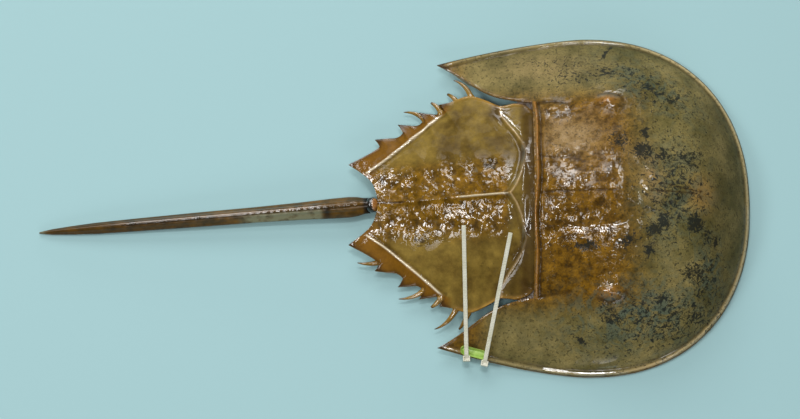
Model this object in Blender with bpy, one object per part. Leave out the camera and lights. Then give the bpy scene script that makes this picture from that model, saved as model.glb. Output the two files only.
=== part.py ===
"""A horseshoe crab shell, built from the pieces that the animal's armour is made of.

The head shield is a hollow dome with a flat brim and two swept-back corner points. The abdomen
shield hangs on it by a hinge, and has a toothed margin with a few curved spines on each side.
The tail spine turns on a small ball behind the abdomen. A small tag is held on the rim of the
head shield by two cable ties.

Metres, +Z up. +X points to the head, +Y to the shell's left, and z = 0 is the surface that it
lies on. The sizes below are in millimetres, in the hinge frame: x is measured forward from the
hinge line. The row origin is the middle of the shell's length, on that surface.
"""

import math

import bmesh
import bpy
import numpy as np
from mathutils import Matrix, Vector

for old in list(bpy.data.objects):
    bpy.data.objects.remove(old)

MM = 0.001

# Head shield: plan
HEAD_FRONT = 132.5  # hinge line to the front of the rim
TAIL_TIP = 300.3  # hinge line back to the tip of the tail spine
RIM_WIDEST_X = 32.5
RIM_HALF_WIDTH = 105.0
RIM_SQUARENESS = 2.25  # exponent of the superellipse that the front of the rim follows
POINT_TIP = (-58.0, 87.8)  # the corner point, behind the hinge
POINT_SWEEP = 1.5  # how the rim draws in between its widest place and the tip

# Head shield: heights and walls
HINGE_ARCH_LOW = 24.0  # height of the hinge edge at the corners
HINGE_ARCH_RISE = 24.0  # and how much higher it is in the middle
HINGE_CORNER_Y = 60.5
HINGE_ARCH_POWER = 2.2
WALL = 2.0
RIM_EDGE = 1.6  # thickness of the rim's edge
RIM_LIFT_X = 6.0  # the rim leaves the surface behind here
RIM_LIFT = 5.0  # and is this high at the corner point
RIM_LIFT_POWER = 1.2
FLANK_FULL = 0.3  # how much the flank bulges between the ridge and the rim
FRONT_FULL = 0.4  # and how much more it does in front
FRONT_FULL_X, FRONT_FULL_OVER = 52.5, 60.0  # where that starts, and the length over which it grows
BRIM = 14.0  # width of the flat brim under the rim
BRIM_STEP = 7.0  # over which the inside rises from the brim
BRIM_SPARE = 6.0  # a flank this much wider than its brim has its whole hollow
LEAST_WALL = 1.2

# The ridge over each eye, from the middle of the front back to the hinge corner: x, y, height
EYE_RIDGE = [(94.0, 0.0, 43.0), (92.0, 14.0, 42.6), (86.0, 28.0, 41.6), (76.0, 41.0, 40.4),
             (62.0, 51.0, 39.4), (44.6, 58.0, 37.5), (22.0, 59.5, 31.0), (-0.3, 60.5, 24.0)]
# The inner edge of the corner point, from the hinge corner to the tip
POINT_EDGE = [(-0.3, 60.5, 24.0), (-7.0, 61.2, 23.0), (-15.0, 63.0, 20.6), (-23.0, 65.7, 17.0),
              (-29.7, 69.2, 13.6), (-36.0, 73.6, 11.0), (-42.5, 78.4, 9.2), (-50.0, 83.4, 7.8),
              (-58.0, 87.8, 6.6)]
EYE = (44.6, 59.5)
EYE_LENGTH, EYE_WIDTH, EYE_RISE = 6.5, 3.4, 3.4
PLATEAU_SWELL = 2.4  # how much the plateau between the ridges swells
LOBE_RISE = 2.6  # the long lobe over the heart, down the middle
LOBE_WIDTHS = [(-5.0, 23.5), (45.0, 19.0), (78.0, 10.0), (95.0, 5.0)]  # x, half-width
LOBE_FROM, LOBE_TO, LOBE_FADE = 3.0, 97.0, 14.0
FURROW_DEPTH, FURROW_WIDTH = 1.1, 3.0  # beside the lobe
HINGE_BORDER_RISE, HINGE_BORDER_WIDTH = 0.9, 3.2  # the raised edge over the hinge
HINGE_GROOVE_X, HINGE_GROOVE_DEPTH, HINGE_GROOVE_WIDTH = 7.0, 0.54, 3.0  # and the groove ahead of it

# Head shield: its grid
RIDGE_POINTS = 200
FRONT_STEPS = 11  # front middle to where the ridge turns back
TURN_SHARE = 0.42  # of the ridge's length
# Rows from there to the hinge corner, closer at the eye and the hinge
SIDE_SHARES = [0.0, 0.09, 0.18, 0.27, 0.34, 0.4, 0.46, 0.52, 0.6, 0.69, 0.78, 0.86, 0.92, 0.97,
               1.0]
POINT_STEPS = 12  # along the corner point
CORNER_LEAN = 5.0  # the row at the hinge corner meets the rim this far behind it
FLANK_SHARES = [0.0, 0.05, 0.12, 0.21, 0.32, 0.45, 0.58, 0.71, 0.83, 0.93, 1.0]

# Hinge
HINGE_Z = 22.0
HINGE_GAP = 0.8
NECK_REACH = 32.0  # degrees that the abdomen's neck reaches forward under the head shield

# Abdomen shield: the margin on one side, as stretches that meet in the points of its teeth
MARGIN = [
    [(2.2, 51.5), (-0.6, 54.2), (-3.0, 57.4), (-6.0, 59.6), (-11.0, 60.5), (-16.0, 59.7),
     (-20.0, 59.4), (-24.5, 61.4), (-30.0, 64.4), (-36.0, 66.7), (-40.0, 66.9), (-45.0, 65.6),
     (-50.0, 63.8), (-57.0, 62.4)],
    [(-57.0, 62.4), (-55.2, 58.8), (-58.0, 56.6), (-63.0, 57.0), (-69.0, 57.9)],
    [(-69.0, 57.9), (-66.8, 53.0), (-70.0, 49.8), (-75.5, 49.9), (-82.0, 50.4)],
    [(-82.0, 50.4), (-78.8, 45.8), (-82.5, 42.2), (-89.0, 41.5), (-96.0, 40.7)],
    [(-96.0, 40.7), (-93.0, 36.8), (-97.0, 33.2), (-103.5, 29.4), (-112.0, 24.9)],
]
MARGIN_STEPS = [13, 4, 4, 4, 5]
TOOTH_FADE = 4  # power by which a tooth's outline fades inward
TOOTH_SMOOTHINGS = 60
ACROSS_STEPS = 12  # midline to margin
MARGIN_HEIGHT = [(-112.0, 9.5), (-96.0, 7.4), (-82.0, 6.6), (-60.0, 7.2), (-50.0, 8.6),
                 (-38.0, 11.4), (-28.0, 15.4), (-20.0, 18.8), (-10.0, 21.8), (-3.0, 22.8),
                 (1.0, 24.0)]
BACK_HEIGHT = [(-94.0, 14.6), (-82.0, 17.4), (-67.0, 22.4), (-45.0, 32.0), (-28.0, 39.6),
               (-14.0, 44.8), (-7.0, 43.4), (-2.0, 44.2), (13.0, 42.0)]
NOTCH = [(-94.0, 0.0, 14.6), (-95.0, 5.5, 13.6), (-96.6, 10.5, 12.8), (-99.0, 14.6, 12.2),
         (-104.5, 19.6, 11.0), (-112.0, 24.9, 9.5)]
REAR_SHARE = 0.7  # of the rows; behind it the heights run into the notch's
ABDOMEN_FULL = 0.55  # how much each side bulges between the crest and the margin
CREST_RISE, CREST_WIDTH, CREST_FROM, CREST_FADE = 1.2, 1.6, -6.0, 8.0
NECK_BACK, NECK_FADE = -8.0, 6.0  # behind this x the surface leaves the hinge's round
NECK_HALF, NECK_HALF_FADE = 54.5, 3.0
NECK_CLIMB = 3.0  # the round stands no more than this over the dome
ABDOMEN_BRIM, ABDOMEN_BRIM_STEP, ABDOMEN_EDGE = 8.0, 5.0, 1.8
NO_BRIM_FROM, NO_BRIM_OVER = -24.0, 12.0  # in front the inside is open to the neck
# The raised border behind the neck: distance from the middle, x
BORDER = [(0.0, -13.6), (7.0, -11.4), (12.5, -7.4), (16.4, -5.4), (22.0, -5.2), (28.0, -6.2),
          (39.0, -10.0), (50.0, -15.0)]
BORDER_RISE, BORDER_WIDTH = 1.3, 2.6
PIT_COUNT, PIT_FRONT, PIT_REAR = 6, (-24.0, 20.0), (-86.0, 10.5)
PIT_DEPTH, PIT_LENGTH, PIT_WIDTH = 1.5, 4.0, 3.2

# The spines beside the abdomen: root x and y, tip x, y and z, bow outward, radius at the tip
SIDE_SPINES = [
    (-36.5, 64.4, -47.9, 78.1, 7.0, 2.4, 0.2),
    (-44.6, 61.6, -51.6, 70.0, 4.2, 1.0, 0.7),
    (-55.2, 57.2, -61.6, 64.6, 4.0, 0.8, 0.7),
    (-64.6, 52.2, -78.4, 58.4, 5.4, 2.0, 0.2),
    (-38.4, -64.2, -44.9, -75.9, 3.6, 0.8, 0.6),
    (-45.8, -62.2, -59.8, -76.3, 6.0, 2.4, 0.2),
    (-55.6, -57.2, -61.8, -62.6, 4.8, 0.5, 0.7),
    (-65.0, -51.4, -81.5, -57.6, 5.4, 1.8, 0.2),
    (-92.4, -34.6, -106.6, -35.4, 6.4, 1.2, 0.2),
]
SPINE_RADIUS = 1.8
SPINE_STEPS = 4
SPINE_DEEP = 1.1  # the root's middle lies this far under the margin's top
SPINE_THINNING = 0.8  # power by which it thins towards the tip

# Tail
TAIL_JOINT = (-97.6, 0.0, 8.4)
BALL_RADIUS = 4.8
BALL_GAP = 0.35
TAIL_START = 4.0  # behind the ball's middle
TAIL_YAW = 4.5  # degrees to the shell's right, as it lies
TAIL_TIP_Z = 1.3
TAIL_FALL_POWER = 1.3
# Share of the length, width of the three-sided section
TAIL_WIDTHS = [(0.0, 8.8), (0.025, 10.9), (0.05, 11.8), (0.1, 11.5), (0.2, 10.0), (0.34, 8.9),
               (0.5, 8.4), (0.7, 7.4), (0.83, 6.4), (0.9, 4.9), (0.96, 3.2), (1.0, 1.0)]
TAIL_SECTION_HEIGHT = 0.86  # of its width
TAIL_KEEL = 0.16  # how far the section is from round towards three-sided
TAIL_RINGS, TAIL_SIDES = 18, 12

# Tag and cable ties, on the right side of the rim
TAG_X = -36.6
TAG_LENGTH, TAG_WIDTH, TAG_THICK = 17.0, 5.0, 1.0
TAG_INSET = 2.9  # rim to the middle of the tag
TAG_LIFT = 3.9  # from the rim's foot to the middle of the tag
TAG_LEAN, TAG_DIP = 22.0, 4.0  # degrees that it climbs inward and drops towards the head
TIE_WIDTH, TIE_THICK = 2.5, 1.0
TIE_HEAD = (4.4, 3.4, 3.6)  # along the rim, across it, high
TIE_X = (-40.6, -29.2)  # where each tie crosses the rim
TIE_TURN = (16.0, 1.5)  # degrees that each one turns towards the tail from square to the rim
TIE_HOLE_INSET = 10.0
TIE_HOLE = (3.4, 2.0)
# The band round the rim and through the hole: inward from the rim, up from the rim's foot
TIE_BAND = [(-2.2, 4.6), (-2.4, 2.2), (-1.6, -0.4), (0.6, -1.15), (7.8, -1.15), (9.6, -0.4),
            (10.0, 1.6), (10.0, 4.6), (9.3, 7.0), (7.0, 7.3), (5.2, 6.4), (2.0, 5.3), (-1.6, 4.4)]
TIE_HEAD_AT = (-2.1, 4.2)
TIE_TAIL_START = [(-1.6, 4.6), (0.0, 6.3), (2.6, 7.7)]
TIE_TAIL = 79.0
TIE_TAIL_STEPS = 5
TIE_RISE = 27.0  # degrees, where the tail leaves the head of the tie
TIE_STRAIGHTENING = 2.0  # degrees more at its end


def hinge_to_row(x, y, z):
    """A point of the hinge frame, in millimetres, as a row point in metres."""
    middle = (HEAD_FRONT - TAIL_TIP) / 2
    return Vector(((x - middle) * MM, y * MM, z * MM))


# Lines and grids

def lengths(points):
    """The distance along a dense line to each of its points."""
    steps = np.linalg.norm(np.diff(points, axis=0), axis=1)
    return np.concatenate([[0.0], np.cumsum(steps)])


def evenly(points, shares):
    """The points at the given shares of a dense line's length."""
    along = lengths(points)
    wanted = np.asarray(shares) * along[-1]
    return np.stack([np.interp(wanted, along, c) for c in np.transpose(points)], axis=1)


def smooth_line(points, count):
    """A Catmull-Rom curve through the points, as count + 1 evenly spaced points."""
    p = np.asarray(points, float)
    p = np.vstack([2 * p[0] - p[1], p, 2 * p[-1] - p[-2]])
    t = np.linspace(0.0, 1.0, 24, endpoint=False)[:, None]
    dense = []
    for a, b, c, d in zip(p, p[1:], p[2:], p[3:]):
        dense.append(b + 0.5 * t * (c - a + t * (2 * a - 5 * b + 4 * c - d
                                                 + t * (3 * (b - c) + d - a))))
    return evenly(np.vstack(dense + [p[-2:-1]]), np.linspace(0.0, 1.0, count + 1))


def table(value, pairs):
    """Reads a short table of pairs whose first numbers rise, straight between its pairs."""
    xs, ys = zip(*pairs)
    return np.interp(value, xs, ys)


def soft_step(value):
    value = np.clip(value, 0.0, 1.0)
    return value * value * (3 - 2 * value)


def bump(value, width):
    return np.exp(-(value / width) ** 2)


def mirrored(half):
    """A line from the middle outward, made whole: its right side turned round, then its left."""
    right = half[:0:-1] * np.array([1.0, -1.0, 1.0][:half.shape[1]])
    return np.vstack([right, half])


def patch(low, high, left, right):
    """A Coons patch: low and high run across, left and right run from low to high."""
    u = np.linspace(0.0, 1.0, len(left))[:, None, None]
    v = np.linspace(0.0, 1.0, len(low))[None, :, None]
    ruled_u = (1 - u) * low[None] + u * high[None]
    ruled_v = (1 - v) * left[:, None] + v * right[:, None]
    corners = ((1 - u) * ((1 - v) * low[0] + v * low[-1])
               + u * ((1 - v) * high[0] + v * high[-1]))
    return ruled_u + ruled_v - corners


# Making meshes and objects

def collection(name):
    made = bpy.data.collections.new(name)
    bpy.context.scene.collection.children.link(made)
    return made


SHELL = collection("horseshoe_crab_shell")
CUTTERS = collection("cutters")


def finish(name, colour, roughness):
    """A plain painted look for one kind of surface."""
    made = bpy.data.materials.new(name)
    made.use_nodes = True
    shader = made.node_tree.nodes["Principled BSDF"]
    shader.inputs["Base Color"].default_value = (*colour, 1.0)
    shader.inputs["Roughness"].default_value = roughness
    shader.inputs["Metallic"].default_value = 0.0
    return made


HEAD_CHITIN = finish("olive_chitin", (0.17, 0.13, 0.05), 0.3)
ABDOMEN_CHITIN = finish("brown_chitin", (0.18, 0.11, 0.03), 0.3)
TAIL_CHITIN = finish("dark_chitin", (0.12, 0.08, 0.04), 0.35)
MEMBRANE = finish("dark_membrane", (0.02, 0.02, 0.015), 0.25)
TAG_PLASTIC = finish("green_plastic", (0.35, 0.72, 0.12), 0.45)
NYLON = finish("natural_nylon", (0.72, 0.75, 0.68), 0.4)


def solid_object(name, mesh, material, group=SHELL):
    made = bpy.data.objects.new(name, mesh)
    made.data.materials.clear()
    made.data.materials.append(material)
    group.objects.link(made)
    if group is CUTTERS:
        made.hide_render = True
        made.display_type = "WIRE"
    return made


def shade(made, angle=40.0):
    made.data.shade_smooth()
    made.data.set_sharp_from_angle(angle=math.radians(angle))


def skin(bm, points):
    """Bends a plane grid of bmesh's own to a grid of points, and returns its vertices by row."""
    rows, columns = points.shape[:2]
    grid = bmesh.ops.create_grid(bm, x_segments=columns - 1, y_segments=rows - 1, size=1.0)
    verts = sorted(grid["verts"], key=lambda v: (round(v.co.y, 5), round(v.co.x, 5)))
    for vert, point in zip(verts, points.reshape(-1, 3)):
        vert.co = hinge_to_row(*point)
    return verts


def shell_mesh(name, tops, bottoms):
    """A closed shell: grids of top points, joined where they meet, extruded to the bottoms."""
    bm = bmesh.new()
    below = bm.verts.layers.float.new("below")
    for top, bottom in zip(tops, bottoms):
        for vert, z in zip(skin(bm, top), bottom.reshape(-1)):
            vert[below] = z * MM
    bmesh.ops.remove_doubles(bm, verts=bm.verts, dist=0.02 * MM)
    bmesh.ops.recalc_face_normals(bm, faces=bm.faces)
    if sum(face.normal.z for face in bm.faces) < 0:
        bmesh.ops.reverse_faces(bm, faces=bm.faces)
    lower = bmesh.ops.extrude_face_region(bm, geom=bm.faces[:], use_keep_orig=True)
    for vert in lower["geom"]:
        if isinstance(vert, bmesh.types.BMVert):
            vert.co.z = vert[below]
    bmesh.ops.recalc_face_normals(bm, faces=bm.faces)
    mesh = bpy.data.meshes.new(name)
    bm.to_mesh(mesh)
    bm.free()
    return mesh


def as_mesh(made, name, group):
    """A curve's evaluated shape as a mesh object with welded caps."""
    bpy.context.view_layer.update()
    ready = made.evaluated_get(bpy.context.evaluated_depsgraph_get())
    mesh = bpy.data.meshes.new_from_object(ready)
    bm = bmesh.new()
    bm.from_mesh(mesh)
    bmesh.ops.remove_doubles(bm, verts=bm.verts, dist=0.005 * MM)
    bmesh.ops.recalc_face_normals(bm, faces=bm.faces)
    bm.to_mesh(mesh)
    bm.free()
    solid = solid_object(name, mesh, made.data.materials[0], group)
    solid.matrix_world = made.matrix_world
    bpy.data.objects.remove(made)
    return solid


def boolean(made, other, operation):
    step = made.modifiers.new(operation.lower() + "_" + other.name, "BOOLEAN")
    step.operation = operation
    step.object = other
    step.solver = "EXACT"
    return step


# Head shield

def rim_half():
    """The rim in plan from the front middle to the tip of the corner point."""
    turn = np.linspace(0.0, math.pi / 2, 160)
    power = 2 / RIM_SQUARENESS
    front = np.stack([RIM_WIDEST_X + (HEAD_FRONT - RIM_WIDEST_X) * np.cos(turn) ** power,
                      RIM_HALF_WIDTH * np.sin(turn) ** power], axis=1)
    share = np.linspace(0.0, 1.0, 80)[1:]
    back = np.stack([RIM_WIDEST_X + (POINT_TIP[0] - RIM_WIDEST_X) * share,
                     RIM_HALF_WIDTH - (RIM_HALF_WIDTH - POINT_TIP[1]) * share ** POINT_SWEEP],
                    axis=1)
    return front, back


def rim_y(x):
    share = np.clip((RIM_WIDEST_X - x) / (RIM_WIDEST_X - POINT_TIP[0]), 0.0, 1.0)
    return RIM_HALF_WIDTH - (RIM_HALF_WIDTH - POINT_TIP[1]) * share ** POINT_SWEEP


def rim_lift(x):
    behind = np.clip((RIM_LIFT_X - x) / (RIM_LIFT_X - POINT_TIP[0]), 0.0, 1.0)
    return RIM_LIFT * behind ** RIM_LIFT_POWER


def hinge_arch(y):
    return HINGE_ARCH_LOW + HINGE_ARCH_RISE * (1 - (np.abs(y) / HINGE_CORNER_Y) ** HINGE_ARCH_POWER)


def head_relief(x, y):
    """The lobe over the heart, the furrows beside it and the eyes, as height over the dome."""
    width = table(x, LOBE_WIDTHS)
    across = np.abs(y) / width
    fade = soft_step((x - LOBE_FROM) / LOBE_FADE) * soft_step((LOBE_TO - x) / LOBE_FADE)
    lobe = LOBE_RISE * (1 - soft_step(across)) * fade
    furrow = -FURROW_DEPTH * bump(np.abs(y) - width - FURROW_WIDTH / 2, FURROW_WIDTH) * fade
    eye = EYE_RISE * bump(x - EYE[0], EYE_LENGTH) * bump(np.abs(y) - EYE[1], EYE_WIDTH)
    border = (HINGE_BORDER_RISE * bump(x, HINGE_BORDER_WIDTH)
              - HINGE_GROOVE_DEPTH * bump(x - HINGE_GROOVE_X, HINGE_GROOVE_WIDTH))
    return lobe + furrow + eye + border * (np.abs(y) < HINGE_CORNER_Y)


def head_inner_line():
    """The ridge from the front middle to the hinge corner, then the corner point's inner edge."""
    ridge = smooth_line(EYE_RIDGE, RIDGE_POINTS)
    turn = int(RIDGE_POINTS * TURN_SHARE)
    return np.vstack([evenly(ridge[:turn + 1], np.linspace(0.0, 1.0, FRONT_STEPS + 1)),
                      evenly(ridge[turn:], SIDE_SHARES)[1:],
                      smooth_line(POINT_EDGE, POINT_STEPS)[1:]])


def head_outer_line():
    """The rim, divided to stand across from the inner line."""
    front, back = rim_half()
    along = lengths(np.vstack([front, back]))
    corner_x = POINT_EDGE[0][0] - CORNER_LEAN
    corner = np.interp(-corner_x, -back[:, 0], along[len(front):]) / along[-1]
    length = lengths(head_inner_line()[:FRONT_STEPS + len(SIDE_SHARES)])
    ahead = length / length[-1] * corner
    behind = np.linspace(corner, 1.0, POINT_STEPS + 1)[1:]
    return evenly(np.vstack([front, back]), np.concatenate([ahead, behind]))


def make_head_shield():
    inner = head_inner_line()
    outer = head_outer_line()
    v = np.array(FLANK_SHARES)[None, :]
    plan = inner[:, None, :2] * (1 - v[..., None]) + outer[:, None, :] * v[..., None]
    lift = rim_lift(outer[:, 0])[:, None]
    full = FLANK_FULL + FRONT_FULL * soft_step((outer[:, :1] - FRONT_FULL_X) / FRONT_FULL_OVER)
    fall = (1 - v) * (1 + full * v)
    rim_top = lift + RIM_EDGE
    height = rim_top + (inner[:, 2:3] - rim_top) * fall
    height += head_relief(plan[..., 0], plan[..., 1]) * soft_step((1 - v) * 2)
    half = np.concatenate([plan, height[..., None]], axis=2)
    # Underneath: flat brim near the rim, then up to the wall's own thickness
    width = np.linalg.norm(inner[:, :2] - outer, axis=1)[:, None]
    inward = (soft_step((width * (1 - v) - BRIM) / BRIM_STEP)
              * soft_step((width - BRIM) / BRIM_SPARE))
    below = np.minimum(lift + (height - WALL - lift) * inward, height - LEAST_WALL)
    # The plateau between the ridges
    ridge = inner[:FRONT_STEPS + len(SIDE_SHARES)]
    front = mirrored(ridge[:FRONT_STEPS + 1])
    left = ridge[:FRONT_STEPS - 1:-1]
    right = left * np.array([1.0, -1.0, 1.0])
    y = np.linspace(-HINGE_CORNER_Y, HINGE_CORNER_Y, len(front))
    edge = np.stack([(np.abs(y) / HINGE_CORNER_Y) ** 3 * EYE_RIDGE[-1][0], y, hinge_arch(y)], 1)
    plateau = patch(edge, front, right, left)
    u = np.linspace(0.0, 1.0, len(left))[:, None]
    w = np.linspace(-1.0, 1.0, len(front))[None, :]
    plateau[..., 2] += PLATEAU_SWELL * np.sin(math.pi * u) * (1 - w * w)
    plateau[..., 2] += head_relief(plateau[..., 0], plateau[..., 1])
    half[:len(ridge), 0, 2] = ridge[:, 2] + head_relief(ridge[:, 0], ridge[:, 1])
    under = plateau[..., 2] - WALL
    flank = np.concatenate([half[:0:-1] * np.array([1.0, -1.0, 1.0]), half])
    flank_below = np.concatenate([below[:0:-1], below])
    mesh = shell_mesh("head_shield", [flank, plateau], [flank_below, under])
    made = solid_object("head_shield", mesh, HEAD_CHITIN)
    shade(made)
    return made


# Abdomen shield

def neck_radius(y):
    """How far the neck's top lies from the hinge's axis: it slides under the head shield."""
    return hinge_arch(y) - WALL - HINGE_GAP - HINGE_Z


def abdomen_relief(x, y, v):
    """The crest down the middle, the pits beside it and the raised border in front."""
    crest = CREST_RISE * bump(y, CREST_WIDTH) * soft_step((CREST_FROM - x) / CREST_FADE)
    pits = np.zeros_like(x)
    for k in range(PIT_COUNT):
        share = k / (PIT_COUNT - 1)
        px = PIT_FRONT[0] + share * (PIT_REAR[0] - PIT_FRONT[0])
        py = PIT_FRONT[1] + share * (PIT_REAR[1] - PIT_FRONT[1])
        pits -= PIT_DEPTH * bump(x - px, PIT_LENGTH) * bump(np.abs(y) - py, PIT_WIDTH)
    border = BORDER_RISE * bump(x - table(np.abs(y), BORDER), BORDER_WIDTH)
    return crest + pits + border * soft_step((1 - v) * 4)


def margin_line():
    """The toothed margin in plan, and the same line with its teeth smoothed away."""
    parts = [smooth_line(stretch, n) for stretch, n in zip(MARGIN, MARGIN_STEPS)]
    line = np.vstack([parts[0]] + [p[1:] for p in parts[1:]])
    plain = line.copy()
    for _ in range(TOOTH_SMOOTHINGS):
        plain[1:-1] = (plain[:-2] + 2 * plain[1:-1] + plain[2:]) / 4
    return line, plain


def make_abdomen_shield():
    margin, plain = margin_line()
    rows = len(margin)
    v = np.linspace(0.0, 1.0, ACROSS_STEPS + 1)
    reach = math.sin(math.radians(NECK_REACH))
    front_y = v * MARGIN[0][0][1]
    front = np.stack([neck_radius(front_y) * reach, front_y], 1)
    front[-1] = plain[0]
    back_x = np.linspace(front[0, 0], NOTCH[0][0], rows)
    back = np.stack([back_x, np.zeros(rows)], 1)
    rear = smooth_line(NOTCH, ACROSS_STEPS)
    plan = patch(front, rear[:, :2], back, plain)
    plan = plan + (margin - plain)[:, None, :] * v[None, :, None] ** TOOTH_FADE
    x, y = plan[..., 0], plan[..., 1]
    edge = table(margin[:, 0], MARGIN_HEIGHT)[:, None]
    middle = table(back_x, BACK_HEIGHT)[:, None]
    vv = v[None, :]
    fall = (1 - vv) * (1 + ABDOMEN_FULL * vv)
    height = edge + (middle - edge) * fall
    # The rear row follows the notch
    u = np.linspace(0.0, 1.0, rows)[:, None]
    at_rear = soft_step((u - REAR_SHARE) / (1 - REAR_SHARE))
    height += at_rear * (rear[:, 2][None, :] - height)
    height += abdomen_relief(x, y, vv) * soft_step((1 - vv) * 3) * soft_step((1 - u) * 8)
    # The neck: round the hinge's axis, under the head shield's edge
    radius = np.clip(neck_radius(y), 0.5, None)
    round_top = HINGE_Z + np.sqrt(np.clip(radius ** 2 - x ** 2, 0.0, None))
    share = soft_step((x - NECK_BACK) / NECK_FADE) * soft_step((NECK_HALF - y) / NECK_HALF_FADE)
    height = height + (np.minimum(round_top, height + NECK_CLIMB) - height) * share
    half = np.concatenate([plan, height[..., None]], axis=2)
    # Underneath
    from_margin = np.linalg.norm(plan - plan[:, -1:], axis=2)
    from_rear = np.linalg.norm(plan - plan[-1:], axis=2)
    inward = (soft_step((from_margin - ABDOMEN_BRIM) / ABDOMEN_BRIM_STEP)
              * soft_step((from_rear - ABDOMEN_BRIM) / ABDOMEN_BRIM_STEP))
    inward = np.maximum(inward, soft_step((x - NO_BRIM_FROM) / NO_BRIM_OVER))
    brim = edge - ABDOMEN_EDGE + at_rear * (rear[:, 2][None, :] - edge)
    below = np.minimum(brim + (height - WALL - brim) * inward, height - LEAST_WALL)
    whole = np.concatenate([half[:, :0:-1] * np.array([1.0, -1.0, 1.0]), half], axis=1)
    whole_below = np.concatenate([below[:, :0:-1], below], axis=1)
    mesh = shell_mesh("abdomen_shield", [whole], [whole_below])
    made = solid_object("abdomen_shield", mesh, ABDOMEN_CHITIN)
    shade(made)
    return made


def make_side_spines():
    """The curved spines in one mesh, each rooted inside the abdomen's margin."""
    spines = []
    for x, y, tip_x, tip_y, tip_z, bow, tip_radius in SIDE_SPINES:
        root = Vector((x, y, float(table(x, MARGIN_HEIGHT)) - SPINE_DEEP))
        tip = Vector((tip_x, tip_y, tip_z))
        out = Vector((0.5, math.copysign(0.87, y), 0.0))
        curve = bpy.data.curves.new("spine", "CURVE")
        curve.dimensions = "3D"
        curve.bevel_depth = SPINE_RADIUS * MM
        curve.bevel_resolution = 1
        curve.use_fill_caps = True
        curve.materials.append(ABDOMEN_CHITIN)
        line = curve.splines.new("POLY")
        line.points.add(SPINE_STEPS)
        for k, point in enumerate(line.points):
            share = k / SPINE_STEPS
            spot = root.lerp(tip, share) + out * bow * 4 * share * (1 - share)
            point.co = (*hinge_to_row(*spot), 1.0)
            thin = tip_radius / SPINE_RADIUS
            point.radius = thin + (1 - thin) * (1 - share) ** SPINE_THINNING
        spines.append(bpy.data.objects.new("spine", curve))
        SHELL.objects.link(spines[-1])
    solids = [as_mesh(s, "side_spine", CUTTERS) for s in spines]
    bm = bmesh.new()
    for solid in solids:
        bm.from_mesh(solid.data)
        bpy.data.objects.remove(solid)
    mesh = bpy.data.meshes.new("side_spines")
    bm.to_mesh(mesh)
    bm.free()
    return solid_object("side_spines", mesh, ABDOMEN_CHITIN, CUTTERS)


# Tail

def make_tail_joint():
    """The ball of soft cuticle that the tail turns on."""
    bm = bmesh.new()
    bmesh.ops.create_uvsphere(bm, u_segments=16, v_segments=10, radius=BALL_RADIUS * MM)
    mesh = bpy.data.meshes.new("tail_joint")
    bm.to_mesh(mesh)
    bm.free()
    made = solid_object("tail_joint", mesh, MEMBRANE)
    made.location = hinge_to_row(*TAIL_JOINT)
    shade(made, 60.0)


def make_tail_spine():
    """A long three-sided spine with its keel up, cupped where it meets the ball."""
    joint = hinge_to_row(*TAIL_JOINT)
    reach = (TAIL_TIP + TAIL_JOINT[0]) / math.cos(math.radians(TAIL_YAW))
    bm = bmesh.new()
    bmesh.ops.create_cone(bm, cap_ends=True, segments=TAIL_SIDES, radius1=1.0, radius2=1.0,
                          depth=1.0)
    for k in range(1, TAIL_RINGS):
        bmesh.ops.bisect_plane(bm, geom=bm.verts[:] + bm.edges[:] + bm.faces[:],
                               plane_co=(0, 0, k / TAIL_RINGS - 0.5), plane_no=(0, 0, 1))
    for vert in bm.verts:
        share = vert.co.z + 0.5
        angle = math.atan2(vert.co.y, vert.co.x)
        width = float(table(share, TAIL_WIDTHS))
        corner = 0.5 * (1 + TAIL_KEEL * math.cos(3 * (angle - math.pi / 2)))
        across = width * corner * math.cos(angle)
        up = width * TAIL_SECTION_HEIGHT * corner * math.sin(angle)
        distance = TAIL_START + share * (reach - TAIL_START)
        fall = (TAIL_JOINT[2] - TAIL_TIP_Z) * share ** TAIL_FALL_POWER
        vert.co = Vector((-distance, across, up - fall)) * MM
    bmesh.ops.recalc_face_normals(bm, faces=bm.faces)
    mesh = bpy.data.meshes.new("tail_spine")
    bm.to_mesh(mesh)
    bm.free()
    made = solid_object("tail_spine", mesh, TAIL_CHITIN)
    made.location = joint
    made.rotation_euler = (0, 0, math.radians(TAIL_YAW))
    shade(made, 50.0)
    cup = bmesh.new()
    bmesh.ops.create_uvsphere(cup, u_segments=16, v_segments=10,
                              radius=(BALL_RADIUS + BALL_GAP) * MM)
    mesh = bpy.data.meshes.new("tail_cup")
    cup.to_mesh(mesh)
    cup.free()
    cutter = solid_object("tail_cup", mesh, MEMBRANE, CUTTERS)
    cutter.location = joint
    boolean(made, cutter, "DIFFERENCE")


# Tag and ties

def rim_frame(x, turn=0.0):
    """At the right rim: the point on the rim's foot, inward, along the rim towards the head."""
    slope = (rim_y(x + 0.5) - rim_y(x - 0.5))
    along = Vector((1.0, -slope, 0.0)).normalized()
    inward = Vector((-along.y, along.x, 0.0))
    if turn:
        spin = Matrix.Rotation(math.radians(turn), 3, "Z")
        along, inward = spin @ along, spin @ inward
    foot = Vector((x, -rim_y(x), 0.0))
    return foot, inward, along


def upright_matrix(x, turn):
    """Places an outline drawn in (inward, up) millimetres at the rim, standing across it."""
    foot, inward, along = rim_frame(x, turn)
    frame = Matrix.Identity(4)
    frame.col[0][:3] = inward * MM
    frame.col[1][:3] = Vector((0.0, 0.0, MM))
    frame.col[2][:3] = along * MM
    frame.translation = hinge_to_row(*foot)
    return frame


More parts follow.
